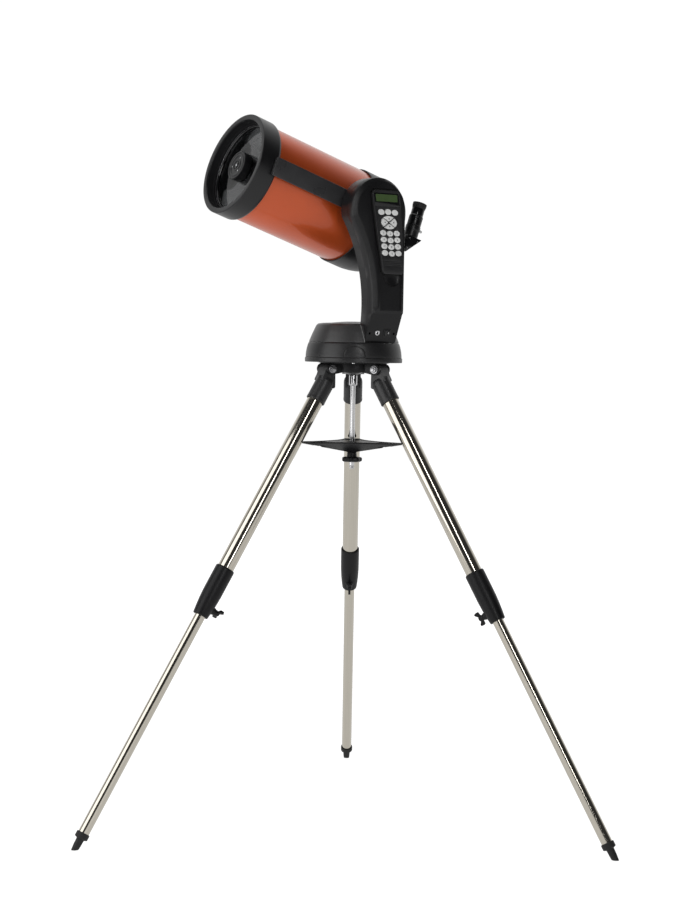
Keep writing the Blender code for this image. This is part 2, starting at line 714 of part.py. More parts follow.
def power_switch(mount):
    """The rocker switch, in its own frame on the sloping panel."""
    y = PANEL_TOP_Y - (LEDGE_Z - 1.1437) * math.tan(PANEL_TILT)
    lean = (-math.pi / 2 - PANEL_TILT, 0.0, 0.0)
    outline = [(-0.0062, -0.0030), (0.0, -0.0045), (0.0062, -0.0030), (0.0062, 0.0018),
               (0.0, 0.0004), (-0.0062, 0.0026)]
    rocker = wall("power_switch", outline, -0.0064, 0.0064)
    return place(rocker, BLACK, mount, (SWITCH_X, y, 1.1437), lean)


def altitude_drive(mount, tube):
    """Gear and shaft turn with the tube; the worm stays in the arm."""
    gear = gear_disc("altitude_gear", ALT_GEAR_R, 0.0840, 0.0920, FINE, 0.0080)
    shaft = cylinder("shaft", 0.0120, ARM_IN - 0.0009, 0.1030, MEDIUM)
    join(gear, shaft)
    turned_to(gear, -90, "X")
    shift(gear, y=-TUBE_SIDE)
    place(gear, BRASS, tube)
    worm_z = ALT_Z - ALT_GEAR_R - WORM_R - 0.0005
    place(worm("altitude_worm", 0.024), DARK_STEEL, mount, (-0.0080 + ALT_X, 0.0880, worm_z),
          (0.0, math.pi / 2, 0.0))


# ---------------------------------------------------------------- hand control

def ellipse(half_w, half_h, steps=COARSE):
    points = []
    for i in range(steps):
        angle = 2 * math.pi * i / steps
        points.append((half_w * math.cos(angle), half_h * math.sin(angle)))
    return points


def key_columns():
    return (-KEY_PITCH_X, 0.0, KEY_PITCH_X)


def key_cap(name, outline, face):
    """A key on its own plane, its sides sunk into the hand control."""
    low = face - 0.0038
    cap = wall(name, outline, low, face + 0.0016)
    return bevelled(cap, 0.0006, 1, 60)


def direction_outline(quarter):
    """One quarter of the direction pad, opening up, down, left or right."""
    gap = 0.0011
    half_w = 0.0205
    half_h = 0.0142
    outline = []
    steps = 6
    start = quarter * 90 - 45
    for i in range(steps + 1):
        angle = math.radians(start + 90 * i / steps)
        outline.append((half_w * math.cos(angle), half_h * math.sin(angle)))
    middle = math.radians(quarter * 90)
    tip = (0.0035 * math.cos(middle), 0.0030 * math.sin(middle))
    toward = (gap * math.cos(middle), gap * math.sin(middle))
    outline.append((tip[0] * 0.4, tip[1] * 0.4))
    return [(x + toward[0], z + toward[1]) for x, z in outline]


def hand_control(mount):
    spot = (CONTROL_CENTRE[0], 0.0, CONTROL_CENTRE[1])
    control = empty("hand_control_frame", spot, (0.0, 0.0, 0.0), mount)
    body = wall("hand_control_body", control_outline(), CONTROL_BACK, CONTROL_FACE)
    bevelled(body, 0.0018, 2, 60)
    window_well = box("well", (-0.0338, CONTROL_FACE - 0.0030, LCD_LOW - GAP),
                      (0.0338, 0.14, LCD_HIGH + GAP))
    cut(body, window_well)
    key_floor = CONTROL_FACE - 0.0056
    for x in key_columns():
        hole = wall("hole", ellipse(KEY_HALF_W + 0.0005, KEY_HALF_H + 0.0005), key_floor, 0.14)
        cut(body, shift(hole, x=x, z=MENU_Z))
    pad = wall("pad", ellipse(0.0222, 0.0159, MEDIUM), key_floor, 0.14)
    cut(body, shift(pad, z=PAD_Z))
    mat_low = KEYPAD_Z - 1.5 * KEY_PITCH_Z - 0.0074
    mat_high = KEYPAD_Z + 1.5 * KEY_PITCH_Z + 0.0074
    cut(body, box("mat_well", (-0.0282, key_floor, mat_low - GAP), (0.0282, 0.14, mat_high + GAP)))
    place(slanted(body), BLACK, control)
    window = box("lcd_window", (-0.0335, CONTROL_FACE - 0.0027, LCD_LOW),
                 (0.0335, CONTROL_FACE - 0.0006, LCD_HIGH))
    place(slanted(window), LCD, control)
    for i, x in enumerate(key_columns()):
        cap = key_cap("menu_key_%d" % (i + 1), ellipse(KEY_HALF_W, KEY_HALF_H), CONTROL_FACE)
        place(slanted(cap), KEYS, control, (x + MENU_Z * CONTROL_SLANT, 0.0, MENU_Z))
    names = ("direction_key_left", "direction_key_up", "direction_key_right",
             "direction_key_down")
    for quarter, name in enumerate(names):
        cap = key_cap(name, direction_outline(quarter), CONTROL_FACE)
        place(slanted(cap), KEYS, control, (PAD_Z * CONTROL_SLANT, 0.0, PAD_Z))
    mat = box("number_keypad", (-0.0279, key_floor + GAP, mat_low),
              (0.0279, CONTROL_FACE - 0.0012, mat_high))
    for x in key_columns():
        for row in range(4):
            dome = wall("dome", ellipse(KEY_HALF_W, KEY_HALF_H), CONTROL_FACE - 0.0030,
                        CONTROL_FACE + 0.0014)
            join(mat, shift(dome, x=x, z=KEYPAD_Z + (row - 1.5) * KEY_PITCH_Z))
    return place(slanted(mat), KEYS, control)


# ---------------------------------------------------------------- optical tube

def along_x(item):
    """Lays a piece turned about Z along the optical axis, +Z becoming +X."""
    return turned_to(item, 90, "Y")


def front_cell(tube):
    seat = CORRECTOR_X - 0.0024 - GAP
    profile = [(0.1080, RIM_X), (FRONT_R - 0.0015, RIM_X), (FRONT_R, RIM_X - 0.0015),
               (FRONT_R, FRONT_REAR_X + 0.006), (0.1150, FRONT_REAR_X),
               (OTA_R + GAP, FRONT_REAR_X), (OTA_R + GAP, seat - 0.006), (0.1000, seat - 0.006),
               (0.1000, seat), (CORRECTOR_R + 0.0010, seat), (CORRECTOR_R + 0.0010, RIM_X - 0.004)]
    return place(along_x(turned("front_cell", profile, FINE, closed=True)), BLACK, tube)


def corrector_parts(tube):
    back = CORRECTOR_X - 0.0024
    front = CORRECTOR_X + 0.0024
    hole = 0.0302
    glass = turned("corrector_plate", [(hole, front), (CORRECTOR_R, front), (CORRECTOR_R, back),
                                       (hole, back)], FINE, closed=True)
    place(along_x(glass), GLASS, tube)
    retainer = front + GAP
    rear = back - GAP
    housing = turned("secondary_housing",
                     [(0.0, RIM_X - 0.0080), (0.0150, RIM_X - 0.0080), (0.0300, RIM_X - 0.0090),
                      (SECONDARY_R, RIM_X - 0.0120), (SECONDARY_R, retainer),
                      (hole - GAP, retainer), (hole - GAP, rear), (SECONDARY_R, rear),
                      (0.0300, rear - 0.0350), (0.0280, rear - 0.0350), (0.0280, rear - 0.0150),
                      (0.0, rear - 0.0150)], MEDIUM)
    place(along_x(housing), BLACK, tube)
    face = rear - 0.0150 - GAP
    mirror = turned("secondary_mirror", [(0.0, face), (0.0240, face), (0.0240, face - 0.0060),
                                         (0.0, face - 0.0060)], MEDIUM)
    return place(along_x(mirror), MIRROR, tube)


def optical_tube(tube):
    front = CORRECTOR_X - 0.0024 - GAP - 0.0063
    rear = REAR_FRONT_X - 0.0180
    profile = [(OTA_R, front), (OTA_R, rear), (OTA_BORE, rear), (OTA_BORE, front)]
    return place(along_x(turned("optical_tube", profile, FINE, closed=True)), ORANGE, tube)


def rear_cell(tube):
    sleeve = REAR_FRONT_X - 0.0183
    back = REAR_END_X
    profile = [(OTA_R + GAP, REAR_FRONT_X), (REAR_R, REAR_FRONT_X),
               (REAR_R, REAR_FRONT_X - 0.0450), (REAR_R - 0.0025, back + 0.0430),
               (REAR_R - 0.0100, back + 0.0155), (REAR_R - 0.0220, back), (0.0380, back),
               (0.0340, back - 0.0060), (0.0250, back - 0.0060), (0.0250, back - 0.0160),
               (0.0190, back - 0.0160), (0.0190, back + 0.0040), (0.0860, back + 0.0040),
               (0.1020, back + 0.0190), (0.1080, back + 0.0440), (0.1080, sleeve),
               (OTA_R + GAP, sleeve)]
    cell = along_x(turned("rear_cell", profile, FINE, closed=True))
    hole = along_x(cylinder("hole", 0.0035, back - 0.02, back + 0.02, 12))
    cut(cell, shift(hole, y=0.0, z=-0.0620))
    return place(cell, BLACK, tube)


def mirror_parts(tube):
    back = REAR_END_X
    baffle = turned("primary_baffle",
                    [(0.0175, 0.0600), (0.0185, 0.0600), (0.0210, back + 0.0400),
                     (0.0230, back + 0.0095), (0.0230, back + 0.0045), (0.0195, back + 0.0045),
                     (0.0175, back + 0.0400)], COARSE, closed=True)
    place(along_x(baffle), BLACK, tube)
    profile = [(0.0255, back + 0.0460), (0.0600, back + 0.0475), (0.1015, back + 0.0520),
               (0.1015, back + 0.0320), (0.0255, back + 0.0280)]
    mirror = along_x(turned("primary_mirror", profile, FINE, closed=True))
    return place(mirror, MIRROR, tube)


def focus_knob(tube):
    """The knob behind the rear cell, with its screw reaching in to the mirror."""
    profile = [(0.0, 0.0200), (0.0030, 0.0200), (0.0030, -0.0035), (0.0115, -0.0045),
               (0.0125, -0.0060), (0.0115, -0.0235), (0.0100, -0.0250), (0.0, -0.0250)]
    stem = along_x(turned("focus_knob", profile, MEDIUM))
    return place(stem, RUBBER, tube, (REAR_END_X, 0.0, -0.0620))


def dovetail_bar(tube):
    """The bar along the tube's side, with a foot at each end that stands on the cells."""
    outline = [(-BAR_HALF + 0.004, BAR_BACK_Y - 0.0005), (BAR_HALF - 0.004, BAR_BACK_Y - 0.0005),
               (BAR_HALF, BAR_FRONT_Y + 0.0045), (-BAR_HALF, BAR_FRONT_Y + 0.0045)]
    length0 = REAR_FRONT_X - 0.030
    length1 = FRONT_REAR_X + 0.0150
    bar = plate("dovetail_bar", outline, length0, length1)
    turned_to(bar, 90, "Y")
    return place(bar, BLACK, tube)


def star_diagonal(tube):
    half = DIAGONAL_HALF
    outline = [(-half - 0.003, half), (half, half), (half, -half - 0.003), (half - 0.006, -half - 0.003)]
    housing = wall("star_diagonal", [(DIAGONAL_X + x, z) for x, z in outline], -0.0190, 0.0190)
    bevelled(housing, 0.0020, 1, 40)
    barrel = along_x(cylinder("barrel", 0.0158, DIAGONAL_X + half - 0.004, REAR_END_X - 0.0210, MEDIUM))
    holder = cylinder("holder", 0.0181, half - 0.004, 0.0480, MEDIUM)
    shift(holder, x=DIAGONAL_X)
    join(housing, barrel, holder)
    bore = cylinder("bore", 0.0162, 0.0080, 0.0700, MEDIUM)
    cut(housing, shift(bore, x=DIAGONAL_X))
    return place(housing, BLACK, tube)


def visual_back(tube):
    thread = REAR_END_X - 0.0060 - GAP
    profile = [(0.0250 + GAP, thread), (0.0300, thread), (0.0300, thread - 0.0160),
               (0.0215, thread - 0.0200), (0.0215, thread - 0.0440), (0.0158 + GAP, thread - 0.0440),
               (0.0158 + GAP, thread - 0.0115), (0.0250 + GAP, thread - 0.0115)]
    back = along_x(turned("visual_back", profile, FINE, closed=True))
    return place(back, BLACK, tube)


def eyepiece(tube):
    profile = [(0.0, EYE_TOP - 0.006), (0.0120, EYE_TOP - 0.006), (0.0140, EYE_TOP),
               (0.0172, EYE_TOP), (0.0172, EYE_TOP - 0.0100), (0.0155, EYE_TOP - 0.0130),
               (0.0155, EYE_TOP - 0.0300), (0.0170, EYE_TOP - 0.0320),
               (0.0170, 0.0490), (0.0158, 0.0484), (0.0158, 0.0220), (0.0, 0.0220)]
    lens = turned("eyepiece", profile, MEDIUM)
    return place(lens, BLACK, tube, (DIAGONAL_X, 0.0, 0.0))


def dovetail_clamp(tube):
    """The saddle on the altitude shaft, with a jaw along each edge of the bar."""
    y_in = BAR_FRONT_Y + 0.0045 + GAP
    y_out = ARM_IN - TUBE_SIDE - 0.0012
    saddle = turned_to(cylinder("dovetail_clamp", 0.0480, -y_out, -y_in - 0.0005, FINE), 90, "X")
    for side in (-1, 1):
        low = BAR_BACK_Y + 0.0030
        outline = [(side * (BAR_HALF + 0.0018), y_in + 0.0020),
                   (side * (BAR_HALF - 0.0018), low),
                   (side * (BAR_HALF + 0.0100), low),
                   (side * (BAR_HALF + 0.0100), y_in + 0.0020)]
        if side < 0:
            outline.reverse()
        join(saddle, turned_to(plate("jaw", outline, -0.0340, 0.0340), 90, "Y"))
    return place(saddle, ALLOY, tube)


def main():
    axis = empty("azimuth_axis", (0.0, AXIS_Y, 0.0))
    tripod(axis)
    mount = empty("mount_frame", (0.0, 0.0, 0.0), (0.0, 0.0, MOUNT_HEADING), axis)
    base_bottom_plate(axis)
    base_housing(axis)
    azimuth_drive(axis, mount)
    turntable_dome(mount)
    battery_cover(mount)
    arm_outer_shell(mount)
    arm_inner_shell(mount)
    power_switch(mount)
    hand_control(mount)
    tube = empty("altitude_axis", (ALT_X, TUBE_SIDE, ALT_Z), (0.0, -ALTITUDE, 0.0), mount)
    altitude_drive(mount, tube)
    dovetail_clamp(tube)
    dovetail_bar(tube)
    front_cell(tube)
    corrector_parts(tube)
    optical_tube(tube)
    rear_cell(tube)
    mirror_parts(tube)
    focus_knob(tube)
    visual_back(tube)
    star_diagonal(tube)
    eyepiece(tube)


main()
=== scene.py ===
"""The looks of the Schmidt-Cassegrain telescope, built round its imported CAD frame.

Each piece is built in the frame of what it belongs to (the tripod's axis, a leg, the mount,
the hand control or the optical tube) and then carried into the row frame. Metres throughout.
"""
import math

import bmesh
import bpy
from mathutils import Matrix, Vector

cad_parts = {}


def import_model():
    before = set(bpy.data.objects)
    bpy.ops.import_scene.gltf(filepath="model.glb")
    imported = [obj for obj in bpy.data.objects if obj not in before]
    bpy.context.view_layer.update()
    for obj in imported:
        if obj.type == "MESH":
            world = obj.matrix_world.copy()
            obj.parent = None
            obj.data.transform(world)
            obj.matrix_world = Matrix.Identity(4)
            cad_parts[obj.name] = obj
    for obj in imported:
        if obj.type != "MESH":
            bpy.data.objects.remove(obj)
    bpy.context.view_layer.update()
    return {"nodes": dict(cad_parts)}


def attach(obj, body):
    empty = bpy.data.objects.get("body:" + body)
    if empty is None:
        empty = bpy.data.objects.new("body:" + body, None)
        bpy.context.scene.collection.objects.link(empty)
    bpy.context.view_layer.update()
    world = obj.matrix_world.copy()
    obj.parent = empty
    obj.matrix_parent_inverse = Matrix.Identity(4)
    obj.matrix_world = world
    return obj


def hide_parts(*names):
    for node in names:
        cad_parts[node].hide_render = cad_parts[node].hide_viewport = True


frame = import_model()


def turn(axis, degrees):
    return Matrix.Rotation(math.radians(degrees), 4, axis)


def polar(radius, degrees):
    angle = math.radians(degrees)
    return radius * math.cos(angle), radius * math.sin(angle)


def at(x=0.0, y=0.0, z=0.0):
    return Matrix.Translation((x, y, z))


# ---------------------------------------------------------------- the CAD's own sizes

AXIS_Y = -0.1708
FOOT_RADIUS = 0.6842
LEG_ANGLE = math.degrees(math.atan2(FOOT_RADIUS - 0.0145, 1.129))
PIVOT_RADIUS = 0.07
PIVOT_HEIGHT = 1.0588
LEAN = math.radians(LEG_ANGLE)
LEG_INSET = (FOOT_RADIUS - PIVOT_RADIUS) * math.cos(LEAN) - PIVOT_HEIGHT * math.sin(LEAN)
LEG_LENGTH = (FOOT_RADIUS - PIVOT_RADIUS) * math.sin(LEAN) + PIVOT_HEIGHT * math.cos(LEAN)
LEG_AZIMUTHS = (90.0, 210.0, 330.0)
CUP_TOP = LEG_LENGTH - 0.041
KNOB_TURNS = (0.0, 62.0, -18.0)
CLAMP_AT = 0.618
HEAD_TOP = 1.0742
HEAD_BOTTOM = 1.052
TRAY_TOP = 0.8905
TRAY_HUB = 0.8652
BASE_SEAM = 1.1204
DOME_TOP = 1.1632
WELL_R = 0.056
ARM_IN = 0.068
ARM_SPLIT = 0.093
ARM_OUT = 0.118
ARM_REAR = -0.059
ARM_FOOT = BASE_SEAM + 0.0006
HEAD_CENTRE = (0.0135, 1.4225)
ARM_HEAD_R = 0.0725
LEDGE_Z = 1.187
PANEL_TOP_Y = 0.11
PANEL_TILT = math.degrees(math.atan2(0.0155, LEDGE_Z - ARM_FOOT))
SWITCH_X = -0.024
PANEL_Z = 1.1437
ALT_X = 0.0135
ALT_Z = 1.4276
TUBE_SIDE = -0.07
RIM_X = 0.2921
OTA_R = 0.1122
FRONT_R = 0.1195
FRONT_REAR_X = RIM_X - 0.05
REAR_FRONT_X = RIM_X - 0.319
REAR_END_X = RIM_X - 0.43
REAR_R = 0.116
CORRECTOR_X = RIM_X - 0.031
DIAGONAL_X = REAR_END_X - 0.085
CONTROL_BACK = 0.1085
CONTROL_FACE = 0.124
KEY_PITCH_X = 0.0186
KEY_PITCH_Z = 0.015
KEYPAD_Z = -0.0257
PAD_Z = 0.0205
MENU_Z = 0.0435
LCD_LOW = 0.056
LCD_HIGH = 0.0865

# ---------------------------------------------------------------- sizes of the looks only

TUBE_HEADING = 213.69
TUBE_ALTITUDE = 18.6
CONTROL_LEAN = 7.5
TRAY_HOLE_R = 0.01625
TRAY_HOLE_AT = 0.087
HEAD_HOLLOW_R = 0.062
JACK_X = 0.003
WELL_HALF = (0.0087, 0.0069)
WELL_FLOOR = CONTROL_FACE - 0.0056
PATCH_STEPS = 8
BEYOND = 0.15  # how far out a cutter reaches, past every outer face
SMOOTH_BELOW = 33  # degrees between two faces

AXIS = at(y=AXIS_Y)
MOUNT = AXIS @ turn("Z", TUBE_HEADING)
PANEL_Y = PANEL_TOP_Y - (LEDGE_Z - PANEL_Z) * math.tan(math.radians(PANEL_TILT))
PANEL = MOUNT @ at(y=PANEL_Y, z=PANEL_Z) @ turn("X", -PANEL_TILT) @ turn("X", -90)
SLANT = Matrix.Identity(4)
SLANT[0][2] = math.tan(math.radians(CONTROL_LEAN))
CONTROL_SPOT = at(-0.0103, 0.0, 1.373)
CONTROL = MOUNT @ CONTROL_SPOT @ SLANT
CONTROL_IN_MOUNT = CONTROL_SPOT @ SLANT
PANEL_IN_MOUNT = MOUNT.inverted() @ PANEL
TUBE = MOUNT @ at(ALT_X, TUBE_SIDE, ALT_Z) @ turn("Y", -TUBE_ALTITUDE)
OPTIC = TUBE @ turn("Y", 90)
UPRIGHT = turn("X", 90)


def leg_frame(i):
    x, y = polar(PIVOT_RADIUS, LEG_AZIMUTHS[i])
    return (at(x, AXIS_Y + y, PIVOT_HEIGHT) @ turn("Z", LEG_AZIMUTHS[i]) @ turn("Y", -LEG_ANGLE))


# ---------------------------------------------------------------- materials

class Surface:
    """A node material: one shader, with patches of colour and gloss and a fine grain."""

    def __init__(self, name, colour, rough, metallic=0.0, coat=0.0, specular=0.5):
        self.material = bpy.data.materials.new(name)
        self.material.use_nodes = True
        self.tree = self.material.node_tree
        self.shader = self.tree.nodes["Principled BSDF"]
        self.colour = colour
        self.rough = rough
        for socket, value in (
                ("Base Color", (*colour, 1.0)), ("Roughness", rough), ("Metallic", metallic),
                ("Specular IOR Level", specular)):
            self.set(socket, value)
        if coat:
            self.set("Coat Weight", coat)
            self.set("Coat Roughness", 0.06)
        self.coords = self.tree.nodes.new("ShaderNodeTexCoord").outputs["Object"]

    def set(self, socket, value):
        self.shader.inputs[socket].default_value = value

    def link(self, output, node, socket):
        self.tree.links.new(output, node.inputs[socket])

    def local(self, scale):
        """Coordinates in the piece's own frame, stretched by scale."""
        read = self.tree.nodes.new("ShaderNodeAttribute")
        read.attribute_name = "local"
        mapping = self.tree.nodes.new("ShaderNodeMapping")
        mapping.inputs["Scale"].default_value = scale
        self.link(read.outputs["Vector"], mapping, "Vector")
        return mapping.outputs["Vector"]

    def noise(self, scale, detail=3.0, coords=None):
        node = self.tree.nodes.new("ShaderNodeTexNoise")
        node.inputs["Scale"].default_value = scale
        node.inputs["Detail"].default_value = detail
        self.link(coords or self.coords, node, "Vector")
        return node.outputs["Fac"]

    def ranged(self, value, low, high, start=0.3, end=0.7):
        node = self.tree.nodes.new("ShaderNodeMapRange")
        for socket, number in (
                ("From Min", start), ("From Max", end), ("To Min", low), ("To Max", high)):
            node.inputs[socket].default_value = number
        self.link(value, node, "Value")
        return node.outputs["Result"]

    def blotches(self, spread, rough_spread, scale=14.0, coords=None):
        fac = self.noise(scale, 4.0, coords)
        mix = self.tree.nodes.new("ShaderNodeMix")
        mix.data_type = "RGBA"
        mix.inputs["A"].default_value = (*[c * (1 - spread) for c in self.colour], 1.0)
        mix.inputs["B"].default_value = (*[c * (1 + spread) for c in self.colour], 1.0)
        self.link(self.ranged(fac, 0.0, 1.0), mix, "Factor")
        self.link(mix.outputs["Result"], self.shader, "Base Color")
        rough = self.ranged(fac, self.rough - rough_spread, self.rough + rough_spread)
        self.link(rough, self.shader, "Roughness")
        return self

    def grain(self, scale, strength, distance=0.0002, coords=None):
        bump = self.tree.nodes.new("ShaderNodeBump")
        bump.inputs["Strength"].default_value = strength
        bump.inputs["Distance"].default_value = distance
        self.link(self.noise(scale, 2.0, coords), bump, "Height")
        self.link(bump.outputs["Normal"], self.shader, "Normal")
        return self


def plastic(name, colour, rough=0.42, grain=0.35, specular=0.5):
    skin = Surface(name, colour, rough, specular=specular)
    return skin.blotches(0.1, 0.05).grain(900.0, grain).material


def casting(name, colour, rough=0.38):
    return Surface(name, colour, rough).blotches(0.15, 0.06, 30.0).grain(420.0, 0.3).material


def satin_metal(name, colour, rough=0.32):
    return Surface(name, colour, rough).blotches(0.12, 0.05, 22.0).grain(700.0, 0.1).material


def drawn_tube(name, colour, rough):
    """Polished tube: hairlines run along it, from the drawing and polishing."""
    skin = Surface(name, colour, rough, metallic=1.0)
    lines = skin.local((260.0, 260.0, 6.0))
    skin.blotches(0.03, 0.02, 1.0, lines)
    return skin.grain(2.0, 0.006, 0.0001, lines).material


def turned_metal(name, colour, rough):
    """Lathe-turned metal: fine rings round its own axis."""
    skin = Surface(name, colour, rough, metallic=1.0)
    rings = skin.local((8.0, 8.0, 900.0))
    skin.blotches(0.1, 0.05, 1.0, rings)
    return skin.grain(1.5, 0.06, 0.0001, rings).material


def metallic_paint(name, colour):
    skin = Surface(name, colour, 0.34, metallic=0.45, coat=0.7)
    skin.blotches(0.07, 0.03, 9.0)
    return skin.grain(2600.0, 0.1, 0.0001).material


def rubber(name):
    skin = Surface(name, (0.012, 0.012, 0.012), 0.62)
    return skin.blotches(0.2, 0.08, 60.0).grain(1500.0, 0.5).material


def glass(name):
    skin = Surface(name, (0.9, 0.93, 0.95), 0.03)
    skin.set("Transmission Weight", 1.0)
    skin.set("IOR", 1.45)
    skin.set("Specular IOR Level", 0.15)
    skin.link(skin.ranged(skin.noise(6.0), 0.015, 0.035), skin.shader, "Roughness")
    return skin.material


def window(name, colour):
    return Surface(name, colour, 0.12, coat=1.0).blotches(0.08, 0.02, 40.0).material


def smooth(name, colour, rough, metallic=0.0, specular=0.5, spread=0.1, rough_spread=0.05):
    """A smooth face with faint blotches and no grain."""
    skin = Surface(name, colour, rough, metallic, specular=specular)
    return skin.blotches(spread, rough_spread).material


BLACK = plastic("moulded_black", (0.007, 0.007, 0.008), 0.4, specular=0.28)
BLACK_CONTROL = plastic("moulded_black_control", (0.024, 0.024, 0.025), 0.33)
BLACK_BASE = plastic("moulded_black_base", (0.016, 0.016, 0.017), 0.37)
BLACK_ARM = plastic("moulded_black_arm", (0.009, 0.009, 0.01), 0.36, 0.28, 0.36)
BLACK_DOME = plastic("moulded_black_dome", (0.045, 0.045, 0.046), 0.33)
BOLT = turned_metal("bolt_steel", (0.4, 0.4, 0.41), 0.26)
BLACK_GLOSS = smooth("gloss_black", (0.006, 0.006, 0.007), 0.09, rough_spread=0.03)
# Painted highlight: a light grey for the bright line along the edge of the arm's foot.
EDGE_HIGHLIGHT = plastic("painted_edge_highlight", (0.3, 0.3, 0.3), 0.4, 0.1)
# Painted shadow: a near-black for dark sheets laid in seams and gaps, where shade falls.
SEAM = plastic("seam_shadow", (0.003, 0.003, 0.003), 0.7, 0.1)
CASTING = casting("powder_coated_casting", (0.02, 0.02, 0.021))
BLACK_METAL = satin_metal("anodised_black", (0.007, 0.007, 0.008), 0.34)
BAR_METAL = satin_metal("bar_black", (0.04, 0.04, 0.042), 0.3)
BAFFLE = smooth("flat_black", (0.006, 0.006, 0.007), 0.75, specular=0.2, spread=0.15)
INNER = smooth("tube_inner_black", (0.012, 0.012, 0.014), 0.6)
STEEL = drawn_tube("stainless_tube", (0.66, 0.62, 0.54), 0.11)
CHROME = turned_metal("bright_steel", (0.76, 0.76, 0.77), 0.14)
ALLOY = turned_metal("machined_alloy", (0.62, 0.63, 0.65), 0.26)
BRASS = turned_metal("brass", (0.72, 0.52, 0.24), 0.28)
DARK_STEEL = turned_metal("dark_steel", (0.2, 0.2, 0.21), 0.33)
ORANGE = metallic_paint("metallic_orange", (0.64, 0.092, 0.014))
RUBBER = rubber("rubber")
KEYS = plastic("key_silicone", (0.92, 0.93, 0.92), 0.45, 0.12)
PRINT = plastic("key_print", (0.05, 0.05, 0.055), 0.6, 0.05)
GLASS = glass("coated_glass")
MIRROR = smooth("aluminised_glass", (0.86, 0.87, 0.89), 0.03, 1.0, 0.5, 0.02, 0.01)
LCD = window("lcd_green", (0.075, 0.125, 0.045))


# ---------------------------------------------------------------- shapes

def rounded(points, reach, steps=3, closed=False):
    """The same line of points with each corner drawn as a short curve."""
    result = []
    count = len(points)
    for i, point in enumerate(points):
        if not closed and i in (0, count - 1):
            result.append(tuple(point))
            continue
        here = Vector(point)
        before = Vector(points[i - 1]) - here
        after = Vector(points[(i + 1) % count]) - here
        start = here + before.normalized() * min(reach, before.length * 0.45)
        end = here + after.normalized() * min(reach, after.length * 0.45)
        for k in range(steps + 1):
            t = k / steps
            spot = start * (1 - t) ** 2 + here * 2 * t * (1 - t) + end * t * t
            result.append(tuple(spot))
    return result


def arc(centre, radius, start, end, steps):
    points = []
    for i in range(steps + 1):
        x, y = polar(radius, start + (end - start) * i / steps)
        points.append((centre[0] + x, centre[1] + y))
    return points


def bezier(p0, p1, p2, p3, steps):
    points = []
    for i in range(1, steps + 1):
        t = i / steps
        s = 1 - t
        shares = ((s * s * s, p0), (3 * s * s * t, p1), (3 * s * t * t, p2), (t * t * t, p3))
        points.append(tuple(sum(share * p[k] for share, p in shares) for k in (0, 1)))
    return points


def oval(half_w, half_h, steps=32, centre=(0.0, 0.0)):
    points = []
    for i in range(steps):
        angle = 2 * math.pi * i / steps
        points.append((centre[0] + half_w * math.cos(angle), centre[1] + half_h * math.sin(angle)))
    return points


def skin_rings(shape, rings, closed=True):
    """Faces between neighbouring rings of vertices; a ring of one vertex is a point."""
    pairs = list(zip(rings, rings[1:]))
    if closed:
        pairs.append((rings[-1], rings[0]))
    for lower, upper in pairs:
        count = max(len(lower), len(upper))
        if count == 1:
            continue
        for i in range(count):
            j = (i + 1) % count
            corners = []
            for ring, k in ((lower, i), (lower, j), (upper, j), (upper, i)):
                vertex = ring[k % len(ring)]
                if vertex not in corners:
                    corners.append(vertex)
            shape.faces.new(corners)


def lathe(profile, segments=96, wave=None):
    """A closed shape turned round Z from (radius, height) points."""
    shape = bmesh.new()
    rings = []
    for radius, height in profile:
        if radius < 0.000001:
            rings.append([shape.verts.new((0.0, 0.0, height))])
            continue
        ring = []
        for i in range(segments):
            angle = 2 * math.pi * i / segments
            reach = radius + (wave(angle, radius, height) if wave else 0.0)
            ring.append(
                shape.verts.new((reach * math.cos(angle), reach * math.sin(angle), height)))
        rings.append(ring)
    skin_rings(shape, rings)
    return shape


def loft(rings):
    """A closed shape through rings of points, with a flat face at each end."""
    shape = bmesh.new()
    rings = [[shape.verts.new(point) for point in ring] for ring in rings]
    skin_rings(shape, rings, closed=False)
    shape.faces.new(list(reversed(rings[0])))
    shape.faces.new(rings[-1])
    return shape


def turned(profile, reach, segments, steps=2, wave=None):
    """A lathe shape with soft corners. A profile that keeps off the axis is a closed one."""
    if reach:
        profile = rounded(profile, reach, steps, closed=profile[0][0] > 0.0)
    return lathe(profile, segments, wave)


def raised(base, profile):
    """A profile whose heights are given from a base height."""
    return [(radius, base + height) for radius, height in profile]


def lobes(count, depth, beyond):
    """A wavy rim, outside a radius."""
    return lambda angle, radius, height: (
        -depth * (1 - math.cos(count * angle)) / 2 if radius > beyond else 0.0)


def ribs(count, depth, beyond, low=-1.0, high=1.0):
    """A ribbed grip, outside a radius and between two heights."""
    return lambda angle, radius, height: (
        -depth * (math.cos(count * angle) > 0) if radius > beyond and low < height < high else 0.0)


def slab(outline, low, high):
    """A flat outline in X and Y, between two heights."""
    return loft([[(x, y, z) for x, y in outline] for z in (low, high)])


def wall(outline, y0, y1):
    """A slab standing up: its outline is in X and Z, and its thickness along Y."""
    shape = slab(outline, -y1, -y0)
    shape.transform(UPRIGHT)
    return shape


def block(low, high):
    (x0, y0, z0), (x1, y1, z1) = low, high
    return slab([(x0, y0), (x1, y0), (x1, y1), (x0, y1)], z0, z1)


def moved(shape, *matrices):
    for matrix in matrices:
        shape.transform(matrix)
    return shape


def merged(first, *others):
    """Several closed shapes in one, as they stand."""
    for other in others:
        mesh = bpy.data.meshes.new("part")
        other.to_mesh(mesh)
        other.free()
        first.from_mesh(mesh)
        bpy.data.meshes.remove(mesh)
    return first


def to_object(name, shape):
    bmesh.ops.recalc_face_normals(shape, faces=shape.faces)
    mesh = bpy.data.meshes.new(name)
    shape.to_mesh(mesh)
    shape.free()
    item = bpy.data.objects.new(name, mesh)
    bpy.context.scene.collection.objects.link(item)
    return item


def settle(item):
    """Puts the modifiers' result into the mesh."""
    bpy.context.view_layer.update()
    graph = bpy.context.evaluated_depsgraph_get()
    mesh = bpy.data.meshes.new_from_object(item.evaluated_get(graph))
    item.modifiers.clear()
    item.data = mesh


